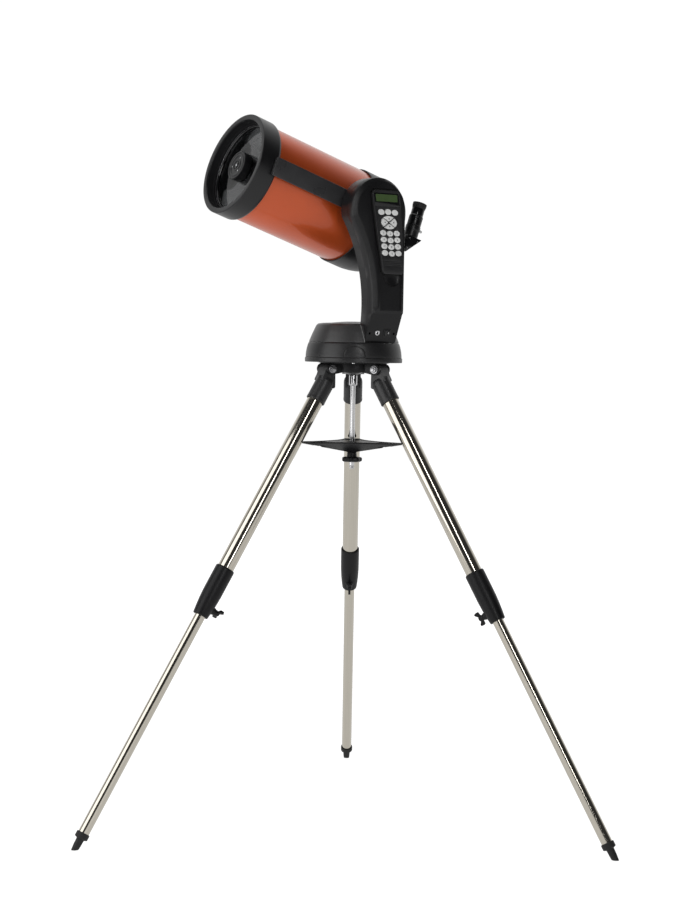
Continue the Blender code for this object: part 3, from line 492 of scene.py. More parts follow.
def piece(
        name, shape, place, look, body, replaces=(), bevel=0.0, segments=2, cuts=(), joins=(),
        limit=35):
    """One finished piece: cut, bevelled, carried to its place and riding on its body."""
    item = to_object(name, shape)
    for operation, others in (("UNION", joins), ("DIFFERENCE", cuts)):
        for other in others:
            cutter = to_object("cutter", other)
            modifier = item.modifiers.new("cut", "BOOLEAN")
            modifier.operation = operation
            modifier.solver = "EXACT"
            modifier.object = cutter
            settle(item)
            bpy.data.objects.remove(cutter, do_unlink=True)
    if bevel:
        modifier = item.modifiers.new("edge", "BEVEL")
        modifier.width = bevel
        modifier.segments = segments
        modifier.limit_method = "ANGLE"
        modifier.angle_limit = math.radians(limit)
        settle(item)
    mesh = item.data
    local = mesh.attributes.new("local", "FLOAT_VECTOR", "POINT")
    local.data.foreach_set("vector", [c for vertex in mesh.vertices for c in vertex.co])
    mesh.transform(place)
    mesh.materials.clear()
    mesh.materials.append(look)
    mesh.shade_smooth()
    mesh.set_sharp_from_angle(angle=math.radians(SMOOTH_BELOW))
    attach(item, body)
    if replaces:
        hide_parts(*replaces)
    return item


def turned_piece(
        name, profile, place, look, body, replaces=(), round_by=0.0006, segments=96, wave=None,
        cuts=()):
    shape = turned(profile, round_by, segments, 3, wave)
    return piece(name, shape, place, look, body, replaces, cuts=cuts)


def on_tube(
        name, profile, look, replaces=(), round_by=0.0006, segments=96, wave=None, cuts=(),
        body="telescope"):
    """A turned piece of the optical tube, about its axis."""
    return turned_piece(name, profile, OPTIC, look, body, replaces, round_by, segments, wave, cuts)


def round_bar(radius, low, high, segments=24):
    return turned([(0.0, low), (radius, low), (radius, high), (0.0, high)], 0.0004, segments)


def hex_head(radius, low, high):
    corners = [polar(radius, 60 * i) for i in range(6)]
    return slab(rounded(corners, radius * 0.12, 2, True), low, high)


def socket_screw(radius, height):
    """A cap screw's head standing on Z = 0, with a round socket."""
    return turned([
        (0.0, height * 0.35), (radius * 0.5, height * 0.35), (radius * 0.55, height),
        (radius, height), (radius, -0.0004), (0.0, -0.0004)], radius * 0.18, 18)


def screw_ring(name, size, spot, angles, place, body, down=False):
    """Cap screws round an axis, at (radius, height) and at the given angles."""
    over = turn("X", 180 if down else 0)
    screws = []
    for angle in angles:
        screw = moved(socket_screw(*size), over, at(spot[0], 0.0, spot[1]), turn("Z", angle))
        screws.append(screw)
    piece(name, merged(*screws), place, CHROME, body)


# ---------------------------------------------------------------- tripod

def tripod_head():
    disc = turned([
        (0.0, HEAD_TOP), (0.052, HEAD_TOP), (0.052, HEAD_BOTTOM), (0.047, HEAD_BOTTOM),
        (0.0455, HEAD_BOTTOM + 0.003), (0.03, HEAD_BOTTOM + 0.003), (0.0285, HEAD_BOTTOM),
        (0.0, HEAD_BOTTOM)], 0.001, 96)
    pieces = []
    outline = [(0.03, HEAD_TOP - 0.0004), (PIVOT_RADIUS, PIVOT_HEIGHT + 0.013)]
    outline += arc((PIVOT_RADIUS, PIVOT_HEIGHT), 0.013, 75, -100, 18)
    outline += [(0.048, HEAD_BOTTOM - 0.002), (0.03, HEAD_BOTTOM + 0.001)]
    for azimuth in LEG_AZIMUTHS:
        for side in (-1, 1):
            low, high = sorted((side * 0.0182, side * 0.0262))
            pieces.append(moved(wall(outline, low, high), turn("Z", azimuth)))
            boss = turned([
                (0.0046, 0.0), (0.0096, 0.0), (0.009, 0.0012), (0.0046, 0.0012)], 0.0002, 32, 1)
            spot = at(PIVOT_RADIUS, side * 0.0259, PIVOT_HEIGHT)
            pieces.append(moved(boss, turn("X", -90 * side), spot, turn("Z", azimuth)))
    piece(
        "tripod_head_casting", merged(disc, *pieces), AXIS, BLACK, "tripod_base", ("tripod_head",),
        bevel=0.0009)
    plate = turned([
        (0.0, HEAD_TOP), (0.078, HEAD_TOP), (0.0785, HEAD_TOP - 0.001), (0.078, HEAD_TOP - 0.0024),
        (0.0, HEAD_TOP - 0.0024)], 0.0004, 96)
    knobs = []
    for side in (-1, 1):
        knob = turned([
            (0.0, 1.0612), (0.004, 1.0612), (0.0046, 1.0625), (0.0046, 1.068), (0.003, 1.0688),
            (0.003, 1.072), (0.0, 1.072)], 0.0005, 24)
        knobs.append(moved(knob, at(side * 0.0745)))
    piece("head_plate", merged(plate, *knobs), AXIS, BLACK, "tripod_base")
    yoke = [
        (0.0, HEAD_BOTTOM - 0.0004), (0.0215, HEAD_BOTTOM - 0.0004), (0.0205, 1.05),
        (0.0092, 1.0446), (0.0, 1.0446)]
    turned_piece("rod_cone", yoke, AXIS, BLACK_GLOSS, "tripod_base", round_by=0.0003)
    rod = [
        (0.0, 1.0445), (0.0088, 1.0445), (0.0095, 1.0438), (0.0095, 1.0224), (0.0085, 1.021),
        (0.0058, 1.02), (0.0058, 0.8345)]
    for i in range(5):
        z = 0.8335 - 0.0014 * i
        rod += [(0.005, z), (0.0058, z - 0.0007)]
    rod += [(0.0048, 0.8262), (0.0, 0.8262)]
    turned_piece(
        "centre_rod_bright", rod, AXIS, CHROME, "tripod_base", ("center_rod",), round_by=0.0002,
        segments=48)


def tray_outline(inset):
    """The three-armed outline: straight arm ends joined by deep curves."""
    points = []
    for azimuth in LEG_AZIMUTHS:
        ends = []
        for degrees, turning in ((azimuth, 1), (azimuth + 120, -1)):
            along = Vector(polar(1.0, degrees))
            side = Vector((-along.y, along.x)) * (0.019 - inset) * turning
            ends.append((along * (0.1332 - inset) + side, along * (0.06 - inset) + side * 1.25))
        (start, near), (end, far) = ends
        points.append(tuple(start))
        points += bezier(start, near, far, end, 24)
    return points


def tray():
    """The tray with its raised rim, its round pan and a lip round each eyepiece hole."""
    hub = []
    pan = []
    for x, y in tray_outline(0.0):
        length = math.hypot(x, y)
        hub.append((x / length * 0.0125, y / length * 0.0125, TRAY_HUB))
        height = TRAY_HUB + 0.0006 + 0.0035 / length * 0.0222
        pan.append((x / length * 0.016, y / length * 0.016, height))
    rings = [hub, pan]
    for inset, drop in (
            (0.0, 0.0032), (0.0, 0.0006), (0.0006, 0.0), (0.0022, 0.0), (0.0028, 0.0014),
            (0.0036, 0.0014)):
        rings.append([(x, y, TRAY_TOP - drop) for x, y in tray_outline(inset)])
    cuts = [round_bar(0.0063, TRAY_HUB - 0.01, TRAY_TOP + 0.01)]
    boss = raised(
        TRAY_TOP, [(0.0064, -0.003), (0.015, -0.003), (0.0135, -0.0003), (0.0064, -0.0003)])
    lips = [turned(boss, 0.0006, 48)]
    for azimuth in LEG_AZIMUTHS:
        hole = round_bar(TRAY_HOLE_R, TRAY_HUB - 0.01, TRAY_TOP + 0.01, 48)
        cuts.append(moved(hole, at(TRAY_HOLE_AT), turn("Z", azimuth)))
        lip = raised(
            TRAY_TOP, [(TRAY_HOLE_R, -0.003), (0.0185, -0.003), (0.0182, -0.0002),
            (TRAY_HOLE_R, -0.0002)])
        lips.append(moved(turned(lip, 0.0004, 48), at(TRAY_HOLE_AT), turn("Z", azimuth)))
    piece("tray_moulding", loft(rings), AXIS, BLACK, "tray", ("accessory_tray",), cuts=cuts)
    piece("tray_hole_lips", merged(*lips), AXIS, BLACK, "tray")


def tray_knob():
    wheel = turned([
        (0.0063, 0.8421), (0.018, 0.8421), (0.024, 0.8438), (0.024, 0.8522), (0.019, 0.8538),
        (0.013, 0.8538), (0.0063, 0.8538)], 0.0022, 84, 4, lobes(7, 0.0024, 0.015))
    neck = turned([
        (0.0063, 0.853), (0.0118, 0.853), (0.0113, 0.86), (0.0108, TRAY_HUB - 0.0004),
        (0.0063, TRAY_HUB - 0.0004)], 0.0008, 48, 3)
    piece(
        "tray_knob_moulding", merged(wheel, neck), AXIS, BLACK, "tray_tension_knob",
        ("tray_knob",))


def leg(i):
    name = "leg_%d" % (i + 1)
    place = leg_frame(i)
    inset = place @ at(LEG_INSET)
    bolt = round_bar(0.004, -0.0355, 0.0355)
    for over in (turn("X", 180), turn("X", 0)):
        washer = turned([
            (0.0041, 0.0264), (0.0094, 0.0264), (0.0094, 0.0272), (0.0041, 0.0272)], 0.0002, 32, 1)
        merged(bolt, moved(hex_head(0.0078, 0.0268, 0.0326), over), moved(washer, over))
    piece(
        name + "_bolt_bright", bolt, place @ turn("X", 90), BOLT, "tripod_base",
        (name + "_pivot_bolt",), bevel=0.0004)

    socket = [
        (0.0, -0.0186), (0.015, -0.019), (0.0205, -0.0215), (0.0222, -0.028), (0.0222, -0.072),
        (0.0226, -0.076), (0.0226, -0.0795), (0.0198, -0.0795), (0.0195, -0.0235), (0.0, -0.0235)]
    outer = turned(socket, 0.0016, 72, 3)
    eye = arc((0.0, 0.0), 0.0124, -20, 160, 16)
    eye += [
        (LEG_INSET - 0.015, -0.021), (LEG_INSET - 0.02, -0.03), (LEG_INSET - 0.019, -0.034),
        (LEG_INSET + 0.019, -0.034), (LEG_INSET + 0.02, -0.03), (LEG_INSET + 0.0205, -0.02)]
    lug = wall(eye, -0.0179, 0.0179)
    bore = moved(round_bar(0.0043, -0.04, 0.04), turn("X", 90))
    tube_bore = moved(round_bar(0.01935, -0.09, -0.0236, 48), at(LEG_INSET))
    piece(
        name + "_socket", lug, place, CASTING, name, (name + "_top_casting",),
        joins=(moved(outer, at(LEG_INSET)),), cuts=(bore, tube_bore), bevel=0.001, limit=50)

    upper = [(0.01905, -0.024), (0.01905, -0.5777), (0.01755, -0.5777), (0.01755, -0.024)]
    turned_piece(
        name + "_upper_steel", upper, inset, STEEL, name, (name + "_upper_tube",), 0.0003, 72)
    lower = [
        (0.0112, -0.5575), (0.0112, -CUP_TOP - 0.01), (0.0127, -CUP_TOP - 0.01), (0.0127, -0.5775),
        (0.0172, -0.5775), (0.0172, -0.5575)]
    turned_piece(
        name + "_lower_steel", lower, inset, STEEL, name + "_lower", (name + "_lower_tube",),
        0.0003, 64)

    collar = [
        (0.01935, -0.5193), (0.0213, -0.5193), (0.0226, -0.5222), (0.0226, -0.56),
        (0.0225, -0.585), (0.0216, -0.605), (0.02, -0.624), (0.0182, -0.64), (0.0172, -0.6417),
        (0.013, -0.6417), (0.013, -0.578), (0.01935, -0.578)]
    body = turned(collar, 0.0012, 72, 3)
    boss = turned([
        (0.0034, 0.013), (0.0088, 0.013), (0.0084, 0.025), (0.008, 0.0268), (0.0034, 0.0268)],
        0.0008, 40, 3)
    saddle = turned([
        (0.0034, 0.012), (0.0112, 0.012), (0.01, 0.0215), (0.0034, 0.0215)], 0.0012, 40, 3)
    toward = (turn("Y", -90), at(z=-CLAMP_AT))
    merged(body, moved(boss, *toward), moved(saddle, *toward))
    piece(name + "_collar_moulding", body, inset, BLACK, name, (name + "_clamp_collar",))

    stem = round_bar(0.003, 0.0131, 0.033, 20)
    hub = turned([
        (0.0, 0.0272), (0.007, 0.0272), (0.0066, 0.0345), (0.005, 0.04), (0.0, 0.0408)], 0.001, 32,
        3)
    half = [(0.015, 0.0335), (0.0165, 0.0348), (0.016, 0.044), (0.012, 0.0448), (0.0055, 0.0385)]
    blade = [(-0.0165, 0.0348), (-0.015, 0.0335), (0.0, 0.0318)] + half
    blade += [(0.0, 0.0378)] + [(-x, z) for x, z in reversed(half[2:])]
    wings = wall(rounded(blade, 0.003, 4, True), -0.0028, 0.0028)
    piece(
        name + "_wing_knob", moved(merged(stem, hub, wings), turn("Z", KNOB_TURNS[i])),
        inset @ at(z=-CLAMP_AT) @ turn("Y", -90), BLACK, name + "_clamp", (name + "_clamp_knob",),
        bevel=0.0008)

    top = -CUP_TOP
    end = -LEG_LENGTH
    tip = [
        (0.0, top - 0.011), (0.013, top - 0.011), (0.013, top), (0.0146, top),
        (0.0152, top - 0.002), (0.0152, top - 0.012), (0.014, top - 0.0135), (0.0094, top - 0.015),
        (0.0088, top - 0.017), (0.0084, top - 0.03), (0.0064, end - 0.01), (0.0, end - 0.01)]
    boot = turned(tip, 0.0008, 48, 3)
    ground = moved(
        block((-0.05, -0.05, -0.05), (0.05, 0.05, 0.0)), turn("Y", LEG_ANGLE), at(z=end))
    piece(
        name + "_foot_rubber", boot, inset, RUBBER, name + "_lower", (name + "_foot",),
        cuts=(ground,))


# ---------------------------------------------------------------- base

def swept_patch(radius_at, outline, proud, thick):
    """A plate that follows a turned surface: outline is (degrees, height) from -Y."""
    middle = sum(degrees for degrees, _ in outline) / len(outline)
    level = sum(height for _, height in outline) / len(outline)
    layers = [(1.0, -thick)]
    layers += [(1.0 - k / PATCH_STEPS, proud) for k in range(PATCH_STEPS)]
    rings = []
    for share, lift in layers:
        ring = []
        for degrees, height in outline:
            angle = math.radians(middle + (degrees - middle) * share - 90)
            z = level + (height - level) * share
            reach = radius_at(z) + lift
            ring.append((reach * math.cos(angle), reach * math.sin(angle), z))
        rings.append(ring)
    return loft(rings)


HOUSING = [
    (0.1044, 1.1201), (0.1062, 1.1172), (0.1082, 1.111), (0.1098, 1.1045), (0.1108, 1.099),
    (0.1116, 1.092), (0.1119, 1.0856)]


def housing_radius(z):
    """The housing's outer radius at a height, and the rim's below its lower seam."""
    if z < 1.0853:
        return 0.1134
    for (r0, z0), (r1, z1) in zip(HOUSING, HOUSING[1:]):
        if z1 <= z <= z0:
            return r1 + (r0 - r1) * (z - z1) / (z0 - z1)
    return HOUSING[0][0]


def base():
    rim = [
        (0.0, 1.135), (0.012, 1.135), (0.012, 1.0795), (0.1075, 1.0795), (0.1075, 1.0853),
        (0.1126, 1.0853), (0.1134, 1.0838), (0.1134, 1.0768), (0.1128, 1.0745), (0.0, 1.0745)]
    turned_piece(
        "base_rim", rim, AXIS, BLACK_BASE, "tripod_base", ("base_bottom_plate",), 0.0005, 160)
    inner = [
        (0.1085, 1.0856), (0.1078, 1.098), (0.1052, 1.1095), (0.103, 1.1171), (0.086, 1.1171),
        (0.086, 1.1201)]
    turned_piece(
        "base_shell", HOUSING + inner, AXIS, BLACK_BASE, "tripod_base", ("base_housing",), 0.0009,
        160)
    middle, half_width, spring, rise, steps = 1.0, 13.2, 1.0925, 0.0195, 24
    arch = [(-11.8, 1.0856)]
    for k in range(steps + 1):
        angle = math.pi * (1 - k / steps)
        spread = 1.02 if k in (0, steps) else 1.0
        arch.append(
            (middle + half_width * math.cos(angle) * spread,
            spring + rise * math.sin(angle) ** 0.8))
    arch.append((13.8, 1.0856))
    # Painted shadow: a dark ribbon round the arch panel stands for the shade in its seam.
    seam_shade = swept_patch(housing_radius, arch, 0.0003, 0.0012)
    piece("arch_panel_seam_shade", seam_shade, AXIS, SEAM, "tripod_base")
    inner_arch = [(middle + (d - middle) * 0.9, 1.0862 + (z - 1.0856) * 0.925) for d, z in arch]
    panel = swept_patch(housing_radius, inner_arch, 0.0005, 0.001)
    piece("arch_panel", panel, AXIS, BLACK_BASE, "tripod_base", bevel=0.0003, limit=50)
    strip = [(-12.5 + 27.5 * k / 16, 1.0752) for k in range(17)]
    strip += [(15.0 - 27.5 * k / 16, 1.0848) for k in range(17)]
    foot = swept_patch(lambda z: 0.1129, strip, 0.00045, 0.001)
    piece("arch_panel_foot", foot, AXIS, BLACK_BASE, "tripod_base", bevel=0.0002, limit=50)
    marks = []
    for degrees in (-35.0, 31.5):
        tab = block((-0.0016, -0.1134, 1.0758), (0.0016, -0.11, 1.0842))
        marks.append(moved(tab, turn("Z", degrees)))
    piece("rim_ribs", merged(*marks), AXIS, BLACK_BASE, "tripod_base", bevel=0.0004)
    screw_ring(
        "base_screws", (0.0036, 0.0026), (0.093, 1.0744), (30, 150, 270), AXIS, "tripod_base",
        down=True)


def dome():
    profile = [
        (0.0, 1.1395), (WELL_R, 1.1395), (WELL_R, DOME_TOP + 0.0022),
        (WELL_R + 0.001, DOME_TOP + 0.0026), (0.072, DOME_TOP + 0.0018),
        (0.0835, DOME_TOP + 0.0003), (0.0879, DOME_TOP - 0.0035), (0.0948, 1.1452), (0.1, 1.133),
        (0.1038, 1.1235), (0.1047, 1.1207), (0.1017, 1.1207), (0.0853, 1.1587), (0.059, 1.1612),
        (0.059, 1.1365), (0.017, 1.1365), (0.017, 1.116), (0.0123, 1.116), (0.0123, 1.136),
        (0.0, 1.136)]
    notch = wall(arm_outline(-0.0006), ARM_IN - 0.0006, BEYOND)
    sill = block(
        (ARM_REAR + 0.0079, ARM_IN - 0.0006, BASE_SEAM - 0.01),
        (0.0351, BEYOND, BASE_SEAM + 0.0012))
    # Painted shadow: a thin dark ring in the seam between the dome and the base housing.
    seam_shade_ring = [(0.0985, 1.12025), (0.1037, 1.12025), (0.1037, 1.1209), (0.0985, 1.1209)]
    turned_piece("dome_seam_shade", seam_shade_ring, MOUNT, SEAM, "mount", round_by=0.0, segments=160)
    turned_piece(
        "dome_shell", profile, MOUNT, BLACK_DOME, "mount", ("turntable_dome",), 0.0014, 160,
        cuts=(notch, sill))
    cover = raised(
        DOME_TOP, [(0.0, 0.0058), (0.018, 0.0055), (0.03, 0.0049), (0.0315, 0.0041),
        (0.033, 0.0046), (0.052, 0.0029), (0.0553, 0.0012)])
    cover += [(0.0553, 1.156), (0.053, 1.156), (0.053, 1.159), (0.0, 1.159)]
    tab = block((-0.009, -0.0552, DOME_TOP - 0.0005), (0.009, -0.048, DOME_TOP + 0.01))
    turned_piece(
        "battery_lid_shell", cover, MOUNT, BLACK_BASE, "battery_lid", ("battery_cover",), 0.0006,
        128, cuts=(tab,))
    ridges = []
    for k in range(4):
        bar = block(
            (-0.008, -0.0542 + 0.0015 * k, DOME_TOP - 0.0004),
            (0.008, -0.0535 + 0.0015 * k, DOME_TOP + 0.0004))
        ridges.append(bar)
    piece("battery_lid_grip", merged(*ridges), MOUNT, BLACK_BASE, "battery_lid")


# ---------------------------------------------------------------- arm

def arm_outline(inset=0.0):
    foot = (0.0345 - inset, ARM_FOOT + inset)
    head = arc(HEAD_CENTRE, ARM_HEAD_R - inset, -15, 180, 56)
    points = [foot]
    points += bezier(foot, (0.02 - inset, 1.2), (0.019 - inset, 1.3), head[0], 28)
    points += head[1:]
    points += [
        (ARM_REAR + inset, 1.34), (ARM_REAR + inset, LEDGE_Z),
        (ARM_REAR + 0.0085 + inset, ARM_FOOT + inset)]
    return points


def foot_edge():
    """A painted highlight: a light strip along the edge of the dome's notch, at the front of the
    arm's foot.
    """
    rings = []
    for radius, z in (
            (0.1045, 1.1212), (0.1038, 1.1235), (0.1, 1.133), (0.0948, 1.1452),
            (0.088, DOME_TOP - 0.0036), (0.0862, DOME_TOP - 0.0022)):
        ring = []
        for x, lift in ((0.0353, -0.0008), (0.0353, 0.0004), (0.0361, 0.0004), (0.0361, -0.0008)):
            ring.append((x, math.sqrt((radius + lift) ** 2 - x * x), z))
        rings.append(ring)
    piece("foot_edge", loft(rings), MOUNT, EDGE_HIGHLIGHT, "mount")


def arm_skin():
    """The outer half of the arm: its outer edge is chamfered, widest along the front."""
    outline = arm_outline()
    count = len(outline)
    shares = []
    inward = []
    for k, (x, z) in enumerate(outline):
        x0, z0 = outline[k - 1]
        x1, z1 = outline[(k + 1) % count]
        if k in (0, count - 1):
            inward.append((-1.0 if k == 0 else 1.0, 0.0))
        elif k == count - 2:
            inward.append((1.0, 0.0))
        else:
            length = math.hypot(x1 - x0, z1 - z0)
            inward.append(((z0 - z1) / length, (x1 - x0) / length))
        along = math.degrees(math.atan2(z - HEAD_CENTRE[1], x - HEAD_CENTRE[0]))
        if along < -90 or k >= count - 2:
            shares.append(0.25 if x < 0 else 1.0)
        else:
            shares.append(1.0 - 0.75 * min(1.0, max(0.0, (along - 60) / 90)))
    rings = []
    for inset, y in (
            (0.0, ARM_SPLIT + 0.0003), (0.0, 0.1105), (0.0012, 0.1126), (0.011, 0.1173),
            (0.0135, ARM_OUT)):
        ring = []
        for (x, z), (nx, nz), share in zip(outline, inward, shares):
            reach = inset * share
            ring.append((x + nx * reach, y, z + nz * reach))
        rings.append(ring)
    return loft(rings)


def control_outline(grow=0.0, steps=8):
    corners = [(0.037, 0.06), (0.0345, 0.0), (0.03, -0.06)]
    right = arc((0.027, 0.083), 0.01 + grow, 90, 0, steps)
    right += [(x + grow, z) for x, z in corners]
    right += arc((0.0205, -0.088), 0.008 + grow, 0, -90, steps)
    return right + [(-x, z) for x, z in reversed(right)]


def wedge():
    """What is cut off the arm's foot, below the ledge and outside the sloping panel."""
    slope = math.tan(math.radians(PANEL_TILT))
    outline = [
        (PANEL_TOP_Y, LEDGE_Z), (BEYOND, LEDGE_Z), (BEYOND, 1.1),
        (PANEL_TOP_Y - (LEDGE_Z - 1.1) * slope, 1.1)]
    return moved(wall(outline, -0.12, 0.12), turn("Z", 90))


def channel_outline():
    """The hollow down the arm's outer face, from the hand control to the ledge."""
    points = [(0.008, 1.1935), (0.0092, 1.23), (0.0125, 1.27), (0.018, 1.3)]
    points += [(0.02, 1.33), (-0.047, 1.33), (-0.05, 1.27), (-0.05, 1.1935)]
    return rounded(points, 0.003, 3, True)


def arm_cavity(y0, y1):
    """What hollows a half of the arm: the round head and the straight part below it."""
    head = moved(
        round_bar(HEAD_HOLLOW_R, -y1, -y0, 64), turn("X", 90),
        at(HEAD_CENTRE[0], 0.0, HEAD_CENTRE[1]))
    return head, block((-0.048, y0, 1.23), (0.018, y1, 1.4))


def arm():
    recess = moved(wall(control_outline(0.0034), ARM_OUT - 0.004, BEYOND), CONTROL_IN_MOUNT)
    ledge = moved(wall([
        (0.1186, 1.199), (0.112, 1.1865), (BEYOND, 1.1865), (BEYOND, 1.199)], -0.12, 0.12),
        turn("Z", 90))
    cradle = moved(wall(control_outline(0.0008), CONTROL_BACK - 0.0003, BEYOND), CONTROL_IN_MOUNT)
    channel = wall(channel_outline(), ARM_OUT - 0.0022, BEYOND)
    scoop = bmesh.new()
    bmesh.ops.create_uvsphere(scoop, u_segments=32, v_segments=20, radius=0.02)
    scoop = moved(
        scoop, Matrix.Diagonal((1.15, 0.42, 1.15, 1.0)), at(0.0, 0.118, -0.102), CONTROL_IN_MOUNT)
    jack = moved(round_bar(0.005, -0.012, 0.02, 32), at(JACK_X), PANEL_IN_MOUNT)
    switch = moved(
        block((-0.008, -0.007, -0.01), (0.008, 0.007, 0.02)), at(SWITCH_X), PANEL_IN_MOUNT)
    holes = []
    for x in (0.0234, -0.0432):
        holes.append(moved(round_bar(0.0029, -0.006, 0.02), at(x, 0.002), PANEL_IN_MOUNT))
    piece(
        "arm_outer_moulding", arm_skin(), MOUNT, BLACK_ARM, "mount", ("arm_outer_shell",),
        cuts=(wedge(), ledge, channel, recess, cradle, scoop, *arm_cavity(0.08, 0.104), jack,
        switch, *holes), bevel=0.0009, segments=3, limit=40)

    inner = wall(arm_outline(), ARM_IN, ARM_SPLIT)
    bore = moved(round_bar(0.0125, -0.08, -0.06, 32), turn("X", 90), at(ALT_X, 0.0, ALT_Z))
    piece(
        "arm_inner_moulding", inner, MOUNT, BLACK_ARM, "mount", ("arm_inner_shell",),
        cuts=(*arm_cavity(0.072, 0.1), bore), bevel=0.0016, segments=3, limit=40)
    # Painted shadow: a dark strip along the split between the arm's two halves.
    seam_shade = wall(arm_outline(0.0009), ARM_SPLIT - 0.0004, ARM_SPLIT + 0.0007)
    piece("arm_split_seam", seam_shade, MOUNT, SEAM, "mount")
    foot_edge()
    # Painted shadow: a dark sheet round the hand control, in its recess, where shade falls.
    gap_shade = wall(control_outline(0.0033), ARM_OUT - 0.0039, ARM_OUT - 0.0033)
    inside = wall(control_outline(0.0009), 0.1, BEYOND)
    piece("control_gap_shade", gap_shade, CONTROL, SEAM, "mount", cuts=(inside,))
    ring = turned([(0.0128, 0.0), (0.04, 0.0), (0.0385, 0.0007), (0.0128, 0.0007)], 0.0004, 96)
    piece(
        "altitude_hub_ring", moved(ring, turn("X", 90)), MOUNT @ at(ALT_X, ARM_IN, ALT_Z),
        BLACK_METAL, "mount")


def arm_fittings():
    barrel = [
        (0.0026, -0.008), (0.0049, -0.008), (0.0049, 0.0004), (0.0062, 0.0004), (0.0062, 0.0014),
        (0.004, 0.0018), (0.0026, 0.0012)]
    place = PANEL @ at(JACK_X)
    turned_piece("socket_barrel", barrel, place, CHROME, "mount", round_by=0.0003, segments=48)
    turned_piece(
        "socket_pin", [(0.0, -0.008), (0.001, -0.008), (0.001, -0.001), (0.0, -0.0004)], place,
        CHROME, "mount", round_by=0.0002, segments=24)
    frame_shape = slab(rounded([
        (-0.0096, -0.0086), (0.0096, -0.0086), (0.0096, 0.0086), (-0.0096, 0.0086)], 0.001, 3,
        True), -0.0002, 0.0012)
    hole = slab([
        (-0.0072, -0.0068), (0.0072, -0.0068), (0.0072, 0.0068), (-0.0072, 0.0068)], -0.01, 0.01)
    piece(
        "switch_bezel", frame_shape, PANEL @ at(SWITCH_X), BLACK_GLOSS, "mount", cuts=(hole,),
        bevel=0.0004)
    rocker = rounded([
        (-0.0062, -0.003), (0.0, -0.0045), (0.0062, -0.003), (0.0062, 0.0018), (0.0, 0.0004),
        (-0.0062, 0.0026)], 0.0006, 3, True)
    piece(
        "power_rocker", wall(rocker, -0.0064, 0.0064), PANEL @ at(SWITCH_X), BLACK_GLOSS, "switch",
        ("power_switch",), bevel=0.0004)
    bar = slab(rounded([
        (-0.0006, -0.002), (0.0006, -0.002), (0.0006, 0.002), (-0.0006, 0.002)], 0.0003, 2, True),
        0.0, 0.0004)
    mark = moved(bar, turn("Y", 19), at(-0.0034, 0.0, 0.0014))
    piece("rocker_mark", mark, PANEL @ at(SWITCH_X), KEYS, "switch")


# ---------------------------------------------------------------- hand control

def key(outline, crown=0.0006):
    """A key cap with a softly crowned top, standing out of the hand control's face."""
    centre_x = sum(x for x, _ in outline) / len(outline)
    centre_z = sum(z for _, z in outline) / len(outline)
    low = CONTROL_FACE - 0.0038
    top = CONTROL_FACE + 0.0016
    levels = [
        (1.0, low), (1.0, top - crown * 1.6), (0.975, top - crown * 0.9),
        (0.92, top - crown * 0.45), (0.75, top - crown * 0.15), (0.4, top - 0.00003)]
    rings = []
    for share, height in levels:
        rings.append([
            (centre_x + (x - centre_x) * share, height, centre_z + (z - centre_z) * share) for x,
            z in outline])
    return loft(rings)


def pad_quarter(quarter):
    outline = []
    middle = math.radians(quarter * 90)
    for i in range(25):
        angle = math.radians(quarter * 90 - 45 + 90 * i / 24)
        outline.append((0.0205 * math.cos(angle), 0.0142 * math.sin(angle)))
    outline.append((0.0014 * math.cos(middle), 0.0012 * math.sin(middle)))
    toward = (0.0016 * math.cos(middle), 0.0016 * math.sin(middle))
    outline = [(x * 0.94, z * 0.94) for x, z in outline]
    points = [(x + toward[0], z + toward[1]) for x, z in outline]
    return rounded(points, 0.0007, 2, True)


def menu_height(x):
    return MENU_Z + (0.0009 if x == 0.0 else 0.0)


def row_height(x, row):
    return KEYPAD_Z + (row - 1.5) * KEY_PITCH_Z - (0.0013 if x == 0.0 else 0.0)


def digit(text, x, z, size):
    """A printed key number: a thin flat sign just proud of the key."""
    curve = bpy.data.curves.new("sign", "FONT")
    curve.body = text
    curve.size = size
    curve.align_x = "CENTER"
    curve.align_y = "CENTER"
    curve.extrude = 0.00004
    curve.resolution_u = 3
    item = bpy.data.objects.new("sign", curve)
    bpy.context.scene.collection.objects.link(item)
    bpy.context.view_layer.update()
    graph = bpy.context.evaluated_depsgraph_get()
    mesh = bpy.data.meshes.new_from_object(item.evaluated_get(graph))
    bpy.data.objects.remove(item, do_unlink=True)
    shape = bmesh.new()
    shape.from_mesh(mesh)
    face = CONTROL_FACE + 0.00163
    return moved(shape, turn("X", 90), turn("Z", 180), at(x, face, z))


